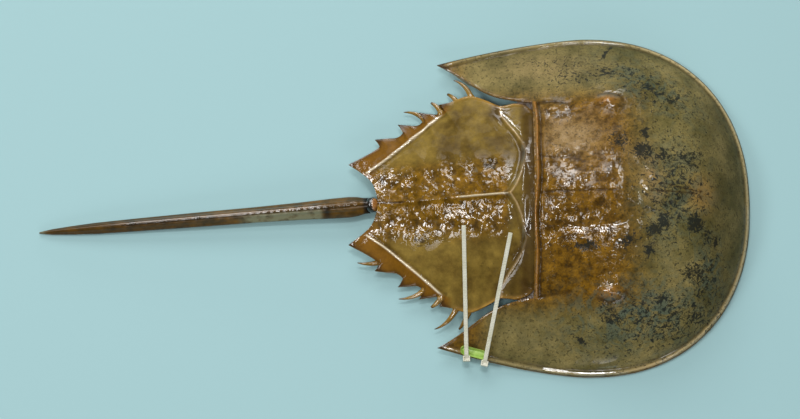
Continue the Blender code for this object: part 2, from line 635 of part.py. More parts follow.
def ribbon(name, centre, steps, frame):
    """A strap seen from its side: an outline round a centre line, extruded to its width."""
    line = smooth_line(centre, steps)
    ahead = np.gradient(line, axis=0)
    normal = np.stack([-ahead[:, 1], ahead[:, 0]], 1)
    normal *= TIE_THICK / 2 / np.linalg.norm(normal, axis=1)[:, None]
    outline = np.vstack([line + normal, (line - normal)[::-1]])
    curve = bpy.data.curves.new(name, "CURVE")
    curve.dimensions = "2D"
    curve.fill_mode = "BOTH"
    curve.extrude = TIE_WIDTH / 2
    curve.materials.append(NYLON)
    spline = curve.splines.new("POLY")
    spline.points.add(len(outline) - 1)
    for point, place in zip(spline.points, outline):
        point.co = (place[0], place[1], 0.0, 1.0)
    spline.use_cyclic_u = True
    made = bpy.data.objects.new(name, curve)
    SHELL.objects.link(made)
    made.matrix_world = frame
    return as_mesh(made, name, CUTTERS)


def block(name, size, matrix, material, group):
    """A box of millimetres, placed by a matrix whose columns are in metres a millimetre."""
    bm = bmesh.new()
    bmesh.ops.create_cube(bm, size=1.0)
    bmesh.ops.scale(bm, vec=size, verts=bm.verts)
    bmesh.ops.transform(bm, matrix=matrix, verts=bm.verts)
    bmesh.ops.recalc_face_normals(bm, faces=bm.faces)
    mesh = bpy.data.meshes.new(name)
    bm.to_mesh(mesh)
    bm.free()
    return solid_object(name, mesh, material, group)


def make_cable_tie(name, x, turn, head_shield):
    """A cable tie round the rim: its band passes a hole in the shell, and its tail stands off."""
    lift = float(rim_lift(x))
    frame = upright_matrix(x, turn)
    band = [(inward, lift + up) for inward, up in TIE_BAND]
    tail = [(inward, lift + up) for inward, up in TIE_TAIL_START]
    start = tail[-1]
    for k in range(1, TIE_TAIL_STEPS + 1):
        share = k / TIE_TAIL_STEPS
        lean = math.radians(TIE_RISE + TIE_STRAIGHTENING * share)
        out = TIE_TAIL * share
        tail.append((start[0] + out * math.cos(lean), start[1] + out * math.sin(lean)))
    loop = ribbon(name + "_band", band, 2 * len(band), frame)
    strap = ribbon(name + "_tail", tail, len(tail), frame)
    place = frame @ Matrix.Translation((TIE_HEAD_AT[0], lift + TIE_HEAD_AT[1], 0.0))
    made = block(name, (TIE_HEAD[1], TIE_HEAD[2], TIE_HEAD[0]), place, NYLON, SHELL)
    boolean(made, loop, "UNION")
    boolean(made, strap, "UNION")
    slot = frame @ Matrix.Translation((TIE_HOLE_INSET, lift + TIE_HEAD_AT[1], 0.0))
    cutter = block(name + "_hole", (TIE_HOLE[1], 16.0, TIE_HOLE[0]), slot, NYLON, CUTTERS)
    boolean(head_shield, cutter, "DIFFERENCE")


def make_tag():
    """The small plate that the ties hold, lying over the rim's slope."""
    foot, inward, along = rim_frame(TAG_X)
    lift = float(rim_lift(TAG_X))
    slope, dip = math.radians(TAG_LEAN), math.radians(TAG_DIP)
    middle = foot + inward * TAG_INSET + Vector((0.0, 0.0, lift + TAG_LIFT))
    frame = Matrix.Identity(4)
    along = along * math.cos(dip) - Vector((0.0, 0.0, math.sin(dip)))
    lean = inward * math.cos(slope) + Vector((0.0, 0.0, math.sin(slope)))
    frame.col[0][:3] = along * MM
    frame.col[1][:3] = lean * MM
    frame.col[2][:3] = along.cross(lean) * MM
    frame.translation = hinge_to_row(*middle)
    block("tag", (TAG_LENGTH, TAG_WIDTH, TAG_THICK), frame, TAG_PLASTIC, SHELL)


head = make_head_shield()
abdomen = make_abdomen_shield()
boolean(abdomen, make_side_spines(), "UNION")
make_tail_joint()
make_tail_spine()
make_tag()
for tie_name, tie_x, tie_turn in zip(("rear_cable_tie", "front_cable_tie"), TIE_X, TIE_TURN):
    make_cable_tie(tie_name, tie_x, tie_turn, head)
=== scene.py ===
"""The looks of a horseshoe crab shell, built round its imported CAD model.

Sizes are in millimetres in the hinge frame of the CAD source: x runs forward from the hinge
line between the two shields, y to the shell's left, and z up from what it lies on.
"""
import math

import bpy
import numpy as np
from mathutils import Matrix, Vector, noise


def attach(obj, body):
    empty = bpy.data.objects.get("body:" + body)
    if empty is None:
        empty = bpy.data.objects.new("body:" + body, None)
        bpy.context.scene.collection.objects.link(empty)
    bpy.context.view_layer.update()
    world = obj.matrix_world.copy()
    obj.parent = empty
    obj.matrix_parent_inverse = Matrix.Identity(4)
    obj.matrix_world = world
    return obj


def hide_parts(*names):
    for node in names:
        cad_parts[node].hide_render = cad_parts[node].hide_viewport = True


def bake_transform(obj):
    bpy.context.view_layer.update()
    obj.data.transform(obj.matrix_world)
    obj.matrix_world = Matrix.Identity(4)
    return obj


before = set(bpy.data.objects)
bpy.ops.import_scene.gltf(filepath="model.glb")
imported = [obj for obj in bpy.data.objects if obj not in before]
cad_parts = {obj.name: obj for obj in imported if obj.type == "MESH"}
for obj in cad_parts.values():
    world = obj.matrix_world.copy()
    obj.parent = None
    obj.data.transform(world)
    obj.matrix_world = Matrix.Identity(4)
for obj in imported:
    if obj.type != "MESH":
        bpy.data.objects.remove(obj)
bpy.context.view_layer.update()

# Head shield
# The armour over the head and legs: one piece of chitin, moulded by the animal as a dome with a
# beaded rim, a raised plateau between its eye ridges, and two swept-back corner points. It is
# wet, so it has a clear gloss over a mottled olive and ochre ground with black algae stains.

MM = 0.001
HINGE_X = 83.9  # the hinge line in the row frame
HEAD_FRONT = 132.5
RIM_WIDEST_X, RIM_HALF_WIDTH, RIM_SQUARENESS = 32.5, 105.0, 2.25
POINT_TIP, POINT_SWEEP = (-58.0, 87.8), 1.5
ARCH_LOW, ARCH_RISE, ARCH_POWER = 24.0, 24.0, 2.2
CORNER_Y = 60.5
WALL, RIM_EDGE, LEAST_WALL = 2.0, 1.6, 1.2
RIM_LIFT_X, RIM_LIFT, RIM_LIFT_POWER = 6.0, 5.0, 1.2
FLANK_FULL, FRONT_FULL, FRONT_FULL_X, FRONT_FULL_OVER = 0.3, 0.4, 52.5, 60.0
BRIM, BRIM_STEP, BRIM_SPARE = 14.0, 7.0, 6.0
EYE_RIDGE = [(94.0, 0.0, 43.0), (92.0, 14.0, 42.6), (86.0, 28.0, 41.6), (76.0, 41.0, 40.4),
             (62.0, 51.0, 39.4), (44.6, 58.0, 37.5), (22.0, 59.5, 31.0), (-0.3, 60.5, 24.0)]
POINT_EDGE = [(-0.3, 60.5, 24.0), (-7.0, 61.2, 23.0), (-15.0, 63.0, 20.6), (-23.0, 65.7, 17.0),
              (-29.7, 69.2, 13.6), (-36.0, 73.6, 11.0), (-42.5, 78.4, 9.2), (-50.0, 83.4, 7.8),
              (-58.0, 87.8, 6.6)]
SIDE_SHARES = [0.0, 0.09, 0.18, 0.27, 0.34, 0.4, 0.46, 0.52, 0.6, 0.69, 0.78, 0.86, 0.92, 0.97,
               1.0]
TURN_SHARE, CORNER_LEAN = 0.42, 5.0
EYE, EYE_LENGTH, EYE_WIDTH, EYE_RISE = (44.6, 59.5), 6.5, 3.4, 3.4
PLATEAU_SWELL = 2.4
LOBE_RISE, LOBE_WIDTHS = 2.6, [(-5.0, 23.5), (45.0, 19.0), (78.0, 10.0), (95.0, 5.0)]
LOBE_FROM, LOBE_TO, LOBE_FADE = 3.0, 97.0, 14.0
FURROW_DEPTH, FURROW_WIDTH = 1.1, 3.0
# Mouldings, each a list of height, middle and width: the rim's bead with a hollow inside it, the
# thinner bead along each corner point, and the bead over the hinge with a groove ahead of it
BORDER_X, GROOVE_OFF = 1.4, 2.2
RIM_PROFILE, POINT_PROFILE = [(0.9, 1.2, 1.1), (-0.75, 3.9, 1.7)], [(0.6, 0.9, 0.9)]
HINGE_PROFILE = [(1.4, 0.0, 0.75), (-1.1, GROOVE_OFF, 1.2)]
CURVE_STEPS = 400
FRONT_COLUMNS, SIDE_ROWS, POINT_ROWS, FLANK_COLUMNS = 60, 110, 56, 58


def to_row(points):
    """Hinge frame millimetres to row metres."""
    return (np.asarray(points, float) + (HINGE_X, 0.0, 0.0)) * MM


def lengths(points):
    """The length of a line from its start to each of its points."""
    steps = np.linalg.norm(np.diff(points, axis=0), axis=1)
    return np.concatenate([[0.0], np.cumsum(steps)])


def evenly(points, shares):
    """The points at the given shares of a dense line's length."""
    along = lengths(points)
    return np.stack([np.interp(np.asarray(shares) * along[-1], along, c)
                     for c in np.transpose(points)], axis=1)


def curve(points, steps=24):
    """A Catmull-Rom curve through the points, with this many steps from each to the next."""
    p = np.asarray(points, float)
    p = np.vstack([2 * p[0] - p[1], p, 2 * p[-1] - p[-2]])
    t = np.linspace(0.0, 1.0, steps, endpoint=False)[:, None]
    dense = [b + 0.5 * t * (c - a + t * (2 * a - 5 * b + 4 * c - d + t * (3 * (b - c) + d - a)))
             for a, b, c, d in zip(p, p[1:], p[2:], p[3:])]
    return np.vstack(dense + [p[-2:-1]])


def read(value, pairs):
    """Reads a short table of pairs whose first numbers rise."""
    xs, ys = zip(*pairs)
    return np.interp(value, xs, ys)


def soft_step(value):
    """A smooth rise from 0 to 1 as the value does the same."""
    value = np.clip(value, 0.0, 1.0)
    return value * value * (3 - 2 * value)


def bump(value, width):
    """A bell that is 1 where the value is nought."""
    return np.exp(-(value / width) ** 2)


def profile(distance, table):
    """The height across a moulding of beads and hollows: height, middle and width of each."""
    return sum(height * bump(distance - middle, width) for height, middle, width in table)


def mirrored(half):
    """A line from the middle outward, made whole: its right side turned round, then its left."""
    return np.vstack([half[:0:-1] * np.array([1.0, -1.0, 1.0][:half.shape[1]]), half])


def patch(low, high, left, right, u, v):
    """A Coons patch: low and high run across, left and right run from low to high."""
    u, v = u[:, None, None], v[None, :, None]
    ruled = ((1 - u) * low[None] + u * high[None] + (1 - v) * left[:, None] + v * right[:, None])
    return ruled - ((1 - u) * ((1 - v) * low[0] + v * low[-1])
                    + u * ((1 - v) * high[0] + v * high[-1]))


def uneven(x, y, size, octaves=3, seed=0.0):
    """Smooth random heights of about -1 to 1, with features of this size in millimetres."""
    flat = [noise.fractal((a / size, b / size, seed), 0.7, 2.0, octaves)
            for a, b in zip(x.ravel(), y.ravel())]
    return np.array(flat).reshape(x.shape)


def spots(x, y, table):
    """The sum of soft oval spots: x, y, half-length, half-width, degrees turned, strength."""
    total = np.zeros_like(x)
    for px, py, length, width, turn, strength in table:
        c, s = math.cos(math.radians(turn)), math.sin(math.radians(turn))
        along, across = (x - px) * c + (y - py) * s, (y - py) * c - (x - px) * s
        total = np.maximum(total, strength * bump(along, length) * bump(across, width))
    return total


def nearest(x, y, table):
    """The distance from each point to the nearest of a set of broken lines in plan."""
    least = np.full(x.shape, 1e9)
    for line in table:
        for (ax, ay), (bx, by) in zip(line, line[1:]):
            t = ((x - ax) * (bx - ax) + (y - ay) * (by - ay)) / ((bx - ax) ** 2 + (by - ay) ** 2)
            t = np.clip(t, 0.0, 1.0)
            least = np.minimum(least, np.hypot(x - ax - t * (bx - ax), y - ay - t * (by - ay)))
    return least


def lines(x, y, table, width):
    """How near each point is to a set of broken lines in plan, from 0 to 1 on them."""
    return bump(nearest(x, y, table), width)


def begin(name, add_primitive, **sizes):
    """Adds a primitive with nothing else selected, as the start of a piece."""
    bpy.ops.object.select_all(action="DESELECT")
    add_primitive(**sizes)
    made = bpy.context.object
    made.name = made.data.name = name
    return made


def skin(name, points):
    """A grid primitive bent to rows of points in the hinge frame."""
    rows, columns = points.shape[:2]
    made = begin(name, bpy.ops.mesh.primitive_grid_add, x_subdivisions=columns - 1,
                 y_subdivisions=rows - 1, size=1.0)
    flat = np.zeros(rows * columns * 3)
    made.data.vertices.foreach_get("co", flat)
    flat = flat.reshape(-1, 3)
    order = np.lexsort((flat[:, 0].round(5), flat[:, 1].round(5)))
    flat[order] = to_row(points.reshape(-1, 3))
    made.data.vertices.foreach_set("co", flat.ravel())
    made["order"] = order.tolist()
    return made


def give(made, **masks):
    """Keeps one number for each vertex of a mesh under each name, for its material to read."""
    for name, values in masks.items():
        kept = made.data.attributes.get(name) or made.data.attributes.new(name, "FLOAT", "POINT")
        kept.data.foreach_set("value", np.asarray(values, np.float32).ravel())


def places_of(made):
    """The places of a mesh's vertices, a row for each."""
    found = np.zeros(len(made.data.vertices) * 3, np.float32)
    made.data.vertices.foreach_get("co", found)
    return found.reshape(-1, 3)


def tidy_normals(made, sharp):
    """Turns all faces outwards, and shades smoothly up to edges this many degrees sharp."""
    bpy.context.view_layer.objects.active = made
    bpy.ops.object.mode_set(mode="EDIT")
    bpy.ops.mesh.select_all(action="SELECT")
    bpy.ops.mesh.normals_make_consistent(inside=False)
    bpy.ops.object.mode_set(mode="OBJECT")
    bpy.ops.object.shade_smooth_by_angle(angle=math.radians(sharp))


def shell(name, sheets, sharp=50.0):
    """Joins sheets of top points along their shared edges and extrudes them to their underside."""
    parts = []
    for top, below in sheets:
        part = skin(name, top)
        level = np.zeros(below.size)
        level[np.array(part["order"])] = below.ravel() * MM
        del part["order"]
        give(part, below=level)
        parts.append(part)
    for part in parts:
        part.select_set(True)
    if len(parts) > 1:
        bpy.ops.object.join()
    made = bpy.context.object
    bpy.ops.object.mode_set(mode="EDIT")
    bpy.ops.mesh.select_all(action="SELECT")
    bpy.ops.mesh.remove_doubles(threshold=0.02 * MM)
    bpy.ops.mesh.normals_make_consistent(inside=False)
    bpy.ops.mesh.extrude_region_move()
    bpy.ops.object.mode_set(mode="OBJECT")
    inner = np.zeros(len(made.data.vertices), bool)
    made.data.vertices.foreach_get("select", inner)
    level = np.zeros(len(inner), np.float32)
    made.data.attributes["below"].data.foreach_get("value", level)
    places = places_of(made)
    places[inner, 2] = level[inner]
    made.data.vertices.foreach_set("co", places.ravel())
    made.data.attributes.remove(made.data.attributes["below"])
    give(made, inside=inner)
    tidy_normals(made, sharp)
    made.name = made.data.name = name
    x, y, z = places_of(made).T / MM
    return made, x - HINGE_X, y, z


def feed(tree, made, inputs):
    """Links or sets the inputs of a node."""
    for key, value in inputs.items():
        if isinstance(value, bpy.types.NodeSocket):
            tree.links.new(value, made.inputs[key])
        else:
            made.inputs[key].default_value = value


def node(tree, kind, inputs, stops=(), **settings):
    """Adds a node with its settings and inputs, and the places and colours of a ramp's stops."""
    made = tree.nodes.new("ShaderNode" + kind)
    for key, value in settings.items():
        setattr(made, key, value)
    feed(tree, made, inputs)
    for k, (position, code) in enumerate(stops):
        stop = made.color_ramp.elements[k]
        stop.position, stop.color = position, paint(code)
    return made


def paint(code):
    """An sRGB hex value as linear colour."""
    parts = [int(code[k:k + 2], 16) / 255 for k in (0, 2, 4)]
    return [c / 12.92 if c <= 0.04045 else ((c + 0.055) / 1.055) ** 2.4 for c in parts] + [1.0]


def per(size):
    """The scale of a pattern whose features are this many millimetres wide."""
    return 1 / (size * MM)


def finish(name, *masks):
    """A new material: its node tree, shader, the object's coordinates, and the masks it reads."""
    made = bpy.data.materials.new(name)
    made.use_nodes = True
    tree = made.node_tree
    read_off = {mask: node(tree, "Attribute", {}, attribute_name=mask).outputs["Fac"]
                for mask in masks}
    place = node(tree, "TexCoord", {}).outputs["Object"]
    return made, tree, tree.nodes["Principled BSDF"], place, read_off


def under_water(tree, shader, place, mask, grain, tooth, ripple, depth, puddle, shore, roughness):
    """Fine-grained horn under water, which ripples where it is rugged and stands in patches."""
    waves = node(tree, "TexNoise", {"Vector": place, "Scale": per(ripple), "Detail": 3.0,
                                    "Roughness": 0.5, "Distortion": 0.6})
    amount = node(tree, "MapRange", {"Value": mask["rugged"], "To Min": 0.03, "To Max": 1.0})
    film = node(tree, "Bump", {"Height": waves.outputs["Fac"], "Distance": depth * MM,
                               "Strength": amount.outputs["Result"]})
    fine = node(tree, "Bump", {"Height": grain.outputs["Fac"], "Strength": tooth,
                               "Distance": 0.2 * MM, "Normal": film.outputs["Normal"]})
    patches = node(tree, "TexNoise", {"Vector": place, "Scale": per(puddle), "Detail": 3.0,
                                      "Roughness": 0.6})
    patches = node(tree, "MapRange", {"Value": patches.outputs["Fac"], "From Min": shore[0],
                                      "From Max": shore[1], "To Min": 0.1, "To Max": 1.0})
    wet = node(tree, "Math", {0: patches.outputs["Result"], 1: mask["wet"]}, operation="MULTIPLY")
    feed(tree, shader, {"Normal": fine.outputs["Normal"], "Coat Normal": film.outputs["Normal"],
                        "Coat Weight": wet.outputs[0], "Coat Roughness": 0.03, "Coat IOR": 1.8,
                        "Roughness": roughness, "IOR": 1.5, "Specular IOR Level": 0.06})


def shield_horn(tree, place, warm, ground, ochre, blotch, fleck, grit, coats=()):
    """Mottled horn: blotches, and ochre flecks where it is warm, shaded by flecks and grain."""
    broad = node(tree, "TexNoise", {"Vector": place, "Scale": per(blotch), "Detail": 3.0,
                                    "Roughness": 0.6})
    mottle = node(tree, "TexNoise", {"Vector": place, "Scale": per(fleck), "Detail": 5.0,
                                     "Roughness": 0.7})
    grain = node(tree, "TexNoise", {"Vector": place, "Scale": per(1.111), "Detail": 3.0,
                                    "Roughness": 0.6})
    ground = node(tree, "ValToRGB", {"Fac": broad.outputs["Fac"]}, stops=ground)
    ochre = node(tree, "ValToRGB", {"Fac": mottle.outputs["Fac"]}, stops=ochre)
    colour = node(tree, "Mix", {0: warm, 6: ground.outputs["Color"], 7: ochre.outputs["Color"]},
                  data_type="RGBA")
    for share_of, code in coats:
        colour = node(tree, "Mix", {0: share_of, 6: colour.outputs[2], 7: paint(code)},
                      data_type="RGBA")
    shade_of = node(tree, "MapRange", {"Value": mottle.outputs["Fac"], "From Min": 0.3,
                                       "From Max": 0.75, "To Min": 0.72, "To Max": 1.22})
    grain_of = node(tree, "MapRange", {"Value": grain.outputs["Fac"], "From Min": 0.3,
                                       "From Max": 0.7, "To Min": grit[0], "To Max": grit[1]})
    both = node(tree, "Math", {0: shade_of.outputs["Result"], 1: grain_of.outputs["Result"]},
                operation="MULTIPLY")
    colour = node(tree, "Mix", {0: 1.0, 6: colour.outputs[2], 7: both.outputs[0]},
                  data_type="RGBA", blend_type="MULTIPLY")
    return colour, mottle, grain


def dress(made, material, body, slot, *replaced):
    """Paints a finished piece and fixes it to its body of the frame."""
    made.data.materials.clear()
    made.data.materials.append(material)
    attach(made, body)
    if replaced:
        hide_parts(*replaced)


def rim_lift(x):
    """How high the rim stands where it climbs to the corner points."""
    behind = np.clip((RIM_LIFT_X - x) / (RIM_LIFT_X - POINT_TIP[0]), 0.0, 1.0)
    return RIM_LIFT * behind ** RIM_LIFT_POWER


def rim_y(x):
    """How far the rim is from the middle, behind its widest place."""
    share = np.clip((RIM_WIDEST_X - x) / (RIM_WIDEST_X - POINT_TIP[0]), 0.0, 1.0)
    return RIM_HALF_WIDTH - (RIM_HALF_WIDTH - POINT_TIP[1]) * share ** POINT_SWEEP


def hinge_arch(y):
    """The height of the hinge edge's arch."""
    return ARCH_LOW + ARCH_RISE * (1 - (np.abs(y) / CORNER_Y) ** ARCH_POWER)


def bead_sway(y):
    """How far the bead over the hinge wanders ahead of its straight line."""
    return 0.9 * np.sin(y / 9.0) * np.cos(y / 23.0 + 0.6) + 0.7 * bump(y - 20.0, 16.0)


def head_relief(x, y):
    """The lobe over the heart, the furrows beside it and the eyes, as height over the dome."""
    width = read(x, LOBE_WIDTHS)
    fade = soft_step((x - LOBE_FROM) / LOBE_FADE) * soft_step((LOBE_TO - x) / LOBE_FADE)
    lobe = LOBE_RISE * (1 - soft_step(np.abs(y) / width)) * fade
    furrow = -FURROW_DEPTH * bump(np.abs(y) - width - FURROW_WIDTH / 2, FURROW_WIDTH) * fade
    eye = EYE_RISE * bump(x - EYE[0], EYE_LENGTH) * bump(np.abs(y) - EYE[1], EYE_WIDTH)
    border = profile(x - BORDER_X - bead_sway(y), HINGE_PROFILE)
    return lobe + furrow + eye + border * soft_step((CORNER_Y + 0.5 - np.abs(y)) / 2.0)


# The eye dots, the seam down the middle and the folds, then the places of the algae, the water
# and the pale bloom, each as x, y, half-length, half-width, degrees turned and strength
EYE_DOTS = [(99.6, 1.9, 0.9, 0.9, 0.0, 1.0), (99.6, -1.9, 0.9, 0.9, 0.0, 1.0)]
SEAM = [[(4.0, 0.0), (49.0, 0.3)], [(77.0, 5.5), (87.0, 3.2), (98.0, 1.6)],
        [(70.0, 0.4), (98.0, 0.2)]]
FOLDS = [[(3.0, 59.8), (12.0, 60.2), (22.0, 57.9)], [(3.5, -59.6), (15.3, -58.6), (22.0, -57.6)],
         [(39.0, 62.6), (45.0, 64.0), (52.0, 62.2), (54.5, 59.0)],
         [(38.0, -62.4), (44.6, -64.4), (51.0, -63.4), (55.0, -60.0)],
         [(4.0, 22.6), (22.0, 21.5), (30.0, 18.6)], [(4.0, -18.0), (9.0, -21.0)]]
STAINS = [(65.3, 26.0, 7.0, 6.0, 0, 1.0), (66.8, 37.1, 3.0, 4.5, 0, 0.85),
          (51.5, 32.1, 7.0, 7.5, 0, 0.6), (77.3, 23.3, 5.0, 5.0, 0, 0.8),
          (90.7, 20.8, 13.0, 9.0, 0, 0.66), (77.4, -17.3, 4.5, 7.0, 0, 1.0),
          (96.3, -17.6, 6.0, 6.5, 0, 0.95), (70.7, -22.3, 6.0, 5.0, 0, 0.85),
          (68.9, -34.7, 4.0, 5.0, 0, 0.85), (31.7, -32.0, 10.0, 3.6, 0, 0.8),
          (54.4, -29.3, 10.0, 4.0, 20, 0.66), (105.7, -25.8, 8.0, 6.0, -40, 0.64),
          (97.1, -45.7, 13.0, 7.0, 0, 0.62), (46.5, -71.5, 9.0, 10.0, 20, 0.62),
          (27.7, -84.7, 4.5, 1.6, -40, 0.95), (75.9, -62.9, 7.0, 4.0, 30, 0.7),
          (97.2, -69.3, 10.0, 10.0, 0, 0.56), (45.4, 94.6, 7.0, 1.2, 55, 1.0),
          (44.7, 79.8, 9.0, 5.0, -20, 0.6), (58.2, 81.4, 4.5, 2.0, -30, 0.7),
          (69.8, 68.9, 6.0, 3.0, -25, 0.8), (84.1, 59.9, 4.0, 7.0, 0, 0.55),
          (84.0, 0.0, 26.0, 38.0, 0, 0.46), (76.0, -72.0, 44.0, 20.0, 10, 0.46),
          (72.0, 68.0, 36.0, 16.0, -30, 0.42), (30.0, 78.0, 22.0, 8.0, 0, 0.42),
          (104.0, -50.0, 12.0, 24.0, 0, 0.44), (20.0, 84.0, 30.0, 10.0, 0, 0.3)]
THICKEST_STAIN = 0.86
VEIL = [(84.0, 0.0, 24.0, 36.0, 0, 0.7), (64.0, -70.0, 52.0, 20.0, 8, 1.0),
        (72.0, 68.0, 36.0, 16.0, -30, 0.8), (106.0, -46.0, 12.0, 24.0, 0, 0.9)]
WET = [(13.0, 54.0, 9.0, 6.0, 0, 1.0), (22.0, 12.0, 14.0, 12.0, 0, 1.0),
       (48.0, 11.0, 9.0, 9.0, 0, 0.9), (56.0, -8.0, 7.0, 9.0, -30, 0.9),
       (15.0, -9.0, 7.0, 6.0, 0, 0.9), (32.0, -21.0, 20.0, 6.0, 0, 1.0),
       (60.0, -28.0, 12.0, 6.0, 20, 0.9), (72.0, 5.0, 11.0, 18.0, 0, 0.7),
       (44.6, 59.0, 8.0, 6.0, 0, 1.0), (44.6, -59.0, 8.0, 6.0, 0, 1.0),
       (6.0, -30.0, 6.0, 30.0, 0, 0.5)]
PALE = [(23.0, 35.0, 18.0, 12.0, 0, 0.85), (66.0, 22.0, 12.0, 7.0, -25, 0.5),
        (69.2, 11.7, 6.0, 5.0, 0, 0.8), (71.9, -2.3, 6.0, 4.0, 0, 0.6),
        (100.5, 0.5, 7.0, 9.0, 0, 0.5), (8.0, 84.0, 34.0, 12.0, -4, 0.4)]
TAN = [(100.5, 0.5, 8.0, 10.0, 0, 0.8), (70.0, 6.0, 7.0, 6.0, 0, 0.6)]

side_steps = np.linspace(0.0, 1.0, SIDE_ROWS + 1)
side_t = 1 - (1 - side_steps) ** 1.35  # rows stand closer towards the hinge
side_curve = curve(list(zip(np.linspace(0.0, 1.0, len(SIDE_SHARES)), SIDE_SHARES)))
side_share = np.interp(side_t, side_curve[:, 0], side_curve[:, 1])
across_s = np.linspace(0.0, 1.0, FRONT_COLUMNS + 1) ** 1.2  # and columns towards the middle
ridge = evenly(curve(EYE_RIDGE), np.linspace(0.0, 1.0, CURVE_STEPS + 1))
turn = int(CURVE_STEPS * TURN_SHARE)
inner = np.vstack([evenly(ridge[:turn + 1], across_s), evenly(ridge[turn:], side_share)[1:],
                   evenly(curve(POINT_EDGE), np.linspace(0.0, 1.0, POINT_ROWS + 1))[1:]])
ridge_rows = FRONT_COLUMNS + SIDE_ROWS + 1

angle = np.linspace(0.0, math.pi / 2, CURVE_STEPS)
power = 2 / RIM_SQUARENESS
rim_front = np.stack([RIM_WIDEST_X + (HEAD_FRONT - RIM_WIDEST_X) * np.cos(angle) ** power,
                      RIM_HALF_WIDTH * np.sin(angle) ** power], 1)
share = np.linspace(0.0, 1.0, 200)[1:]
rim_back_x = RIM_WIDEST_X + (POINT_TIP[0] - RIM_WIDEST_X) * share
rim = np.vstack([rim_front, np.stack([rim_back_x, rim_y(rim_back_x)], 1)])
along = lengths(rim)
corner_x = POINT_EDGE[0][0] - CORNER_LEAN
corner = np.interp(-corner_x, -rim_back_x, along[len(rim_front):]) / along[-1]
ridge_length = lengths(inner[:ridge_rows])
outer = evenly(rim, np.concatenate([ridge_length / ridge_length[-1] * corner,
                                    np.linspace(corner, 1.0, POINT_ROWS + 1)[1:]]))

outward = 1 - (1 - np.linspace(0.0, 1.0, FLANK_COLUMNS + 1)[None, :]) ** 1.5
plan = inner[:, None, :2] * (1 - outward[..., None]) + outer[:, None, :] * outward[..., None]
lift = rim_lift(outer[:, 0])[:, None]
full = FLANK_FULL + FRONT_FULL * soft_step((outer[:, :1] - FRONT_FULL_X) / FRONT_FULL_OVER)
rim_top = lift + RIM_EDGE
dome = rim_top + (inner[:, 2:3] - rim_top) * (1 - outward) * (1 + full * outward)
width = np.linalg.norm(inner[:, :2] - outer, axis=1)[:, None]
from_rim, from_edge = width * (1 - outward), width * outward
inward = (soft_step((from_rim - BRIM) / BRIM_STEP) * soft_step((width - BRIM) / BRIM_SPARE))
below = np.minimum(lift + (dome - WALL - lift) * inward, dome - LEAST_WALL)
is_point = soft_step((-1.0 - inner[:, :1]) / 6.0)
top = dome + (profile(from_rim, RIM_PROFILE) * soft_step(width / 14.0)
              + profile(from_edge, POINT_PROFILE) * is_point * (outward < 0.5))
top += head_relief(plan[..., 0], plan[..., 1]) * soft_step((1 - outward) * 2)

sideways = np.concatenate([-across_s[:0:-1], across_s])
forward = 1 - side_t[::-1]
hinge_y = CORNER_Y * sideways
hinge_edge = np.stack([np.abs(sideways) ** 3 * EYE_RIDGE[-1][0], hinge_y, hinge_arch(hinge_y)], 1)
left = inner[ridge_rows - 1:FRONT_COLUMNS - 1:-1]
plateau = patch(hinge_edge, mirrored(inner[:FRONT_COLUMNS + 1]), left * (1.0, -1.0, 1.0), left,
                forward, (sideways + 1) / 2)
plateau[..., 2] += PLATEAU_SWELL * np.sin(math.pi * forward)[:, None] * (1 - sideways * sideways)
plateau_below = plateau[..., 2] - WALL
plateau[..., 2] += head_relief(plateau[..., 0], plateau[..., 1])
top[:ridge_rows, 0] = inner[:ridge_rows, 2] + head_relief(inner[:ridge_rows, 0],
                                                         inner[:ridge_rows, 1])


def head_skin(x, y):
    """The wrinkles, folds and seam of the head shield's surface."""
    centre = (soft_step((66.0 - np.abs(y)) / 12.0) * soft_step((x - 5.0) / 3.0)
              * soft_step((84.0 - x) / 20.0))
    lobe = bump(y, 24.0) * soft_step((x - 5.0) / 3.0) * soft_step((80.0 - x) / 14.0)
    wrinkles = 0.8 * uneven(x, y, 10.0, 2, 3.0) + 0.35 * uneven(x, y * 0.6, 4.2, 3, 8.0)
    seam = -0.5 * lines(x, y, SEAM, 0.7) - 0.5 * lines(x, y, FOLDS, 1.1)
    dots = spots(x, y, EYE_DOTS)
    horn = spots(x, y, [(98.8, 0.0, 3.2, 2.6, 0, 1.0)])
    swell = uneven(x, y, 30.0, 2, 5.0) * soft_step((110 - np.hypot(x - 20, y)) / 30)
    return (wrinkles * (0.35 * centre + 0.75 * lobe) + seam + 0.5 * dots + 0.6 * horn
            + 0.25 * swell)


top += head_skin(plan[..., 0], plan[..., 1]) * soft_step(from_rim / 8.0)
plateau[..., 2] += head_skin(plateau[..., 0], plateau[..., 1])
half = np.concatenate([plan, top[..., None]], axis=2)
flank = np.concatenate([half[:0:-1] * (1.0, -1.0, 1.0), half])
flank_below = np.concatenate([below[:0:-1], below])
# The left and right skins differ a little, so each side has its own wrinkles
turned = flank[:len(half) - 1]
turned[..., 2] += ((head_skin(turned[..., 0], turned[..., 1])
                    - head_skin(turned[..., 0], -turned[..., 1]))
                   * soft_step(from_rim / 8.0)[:0:-1])
head, x, y, z = shell("head_shield_skin", [(flank, flank_below), (plateau, plateau_below)])

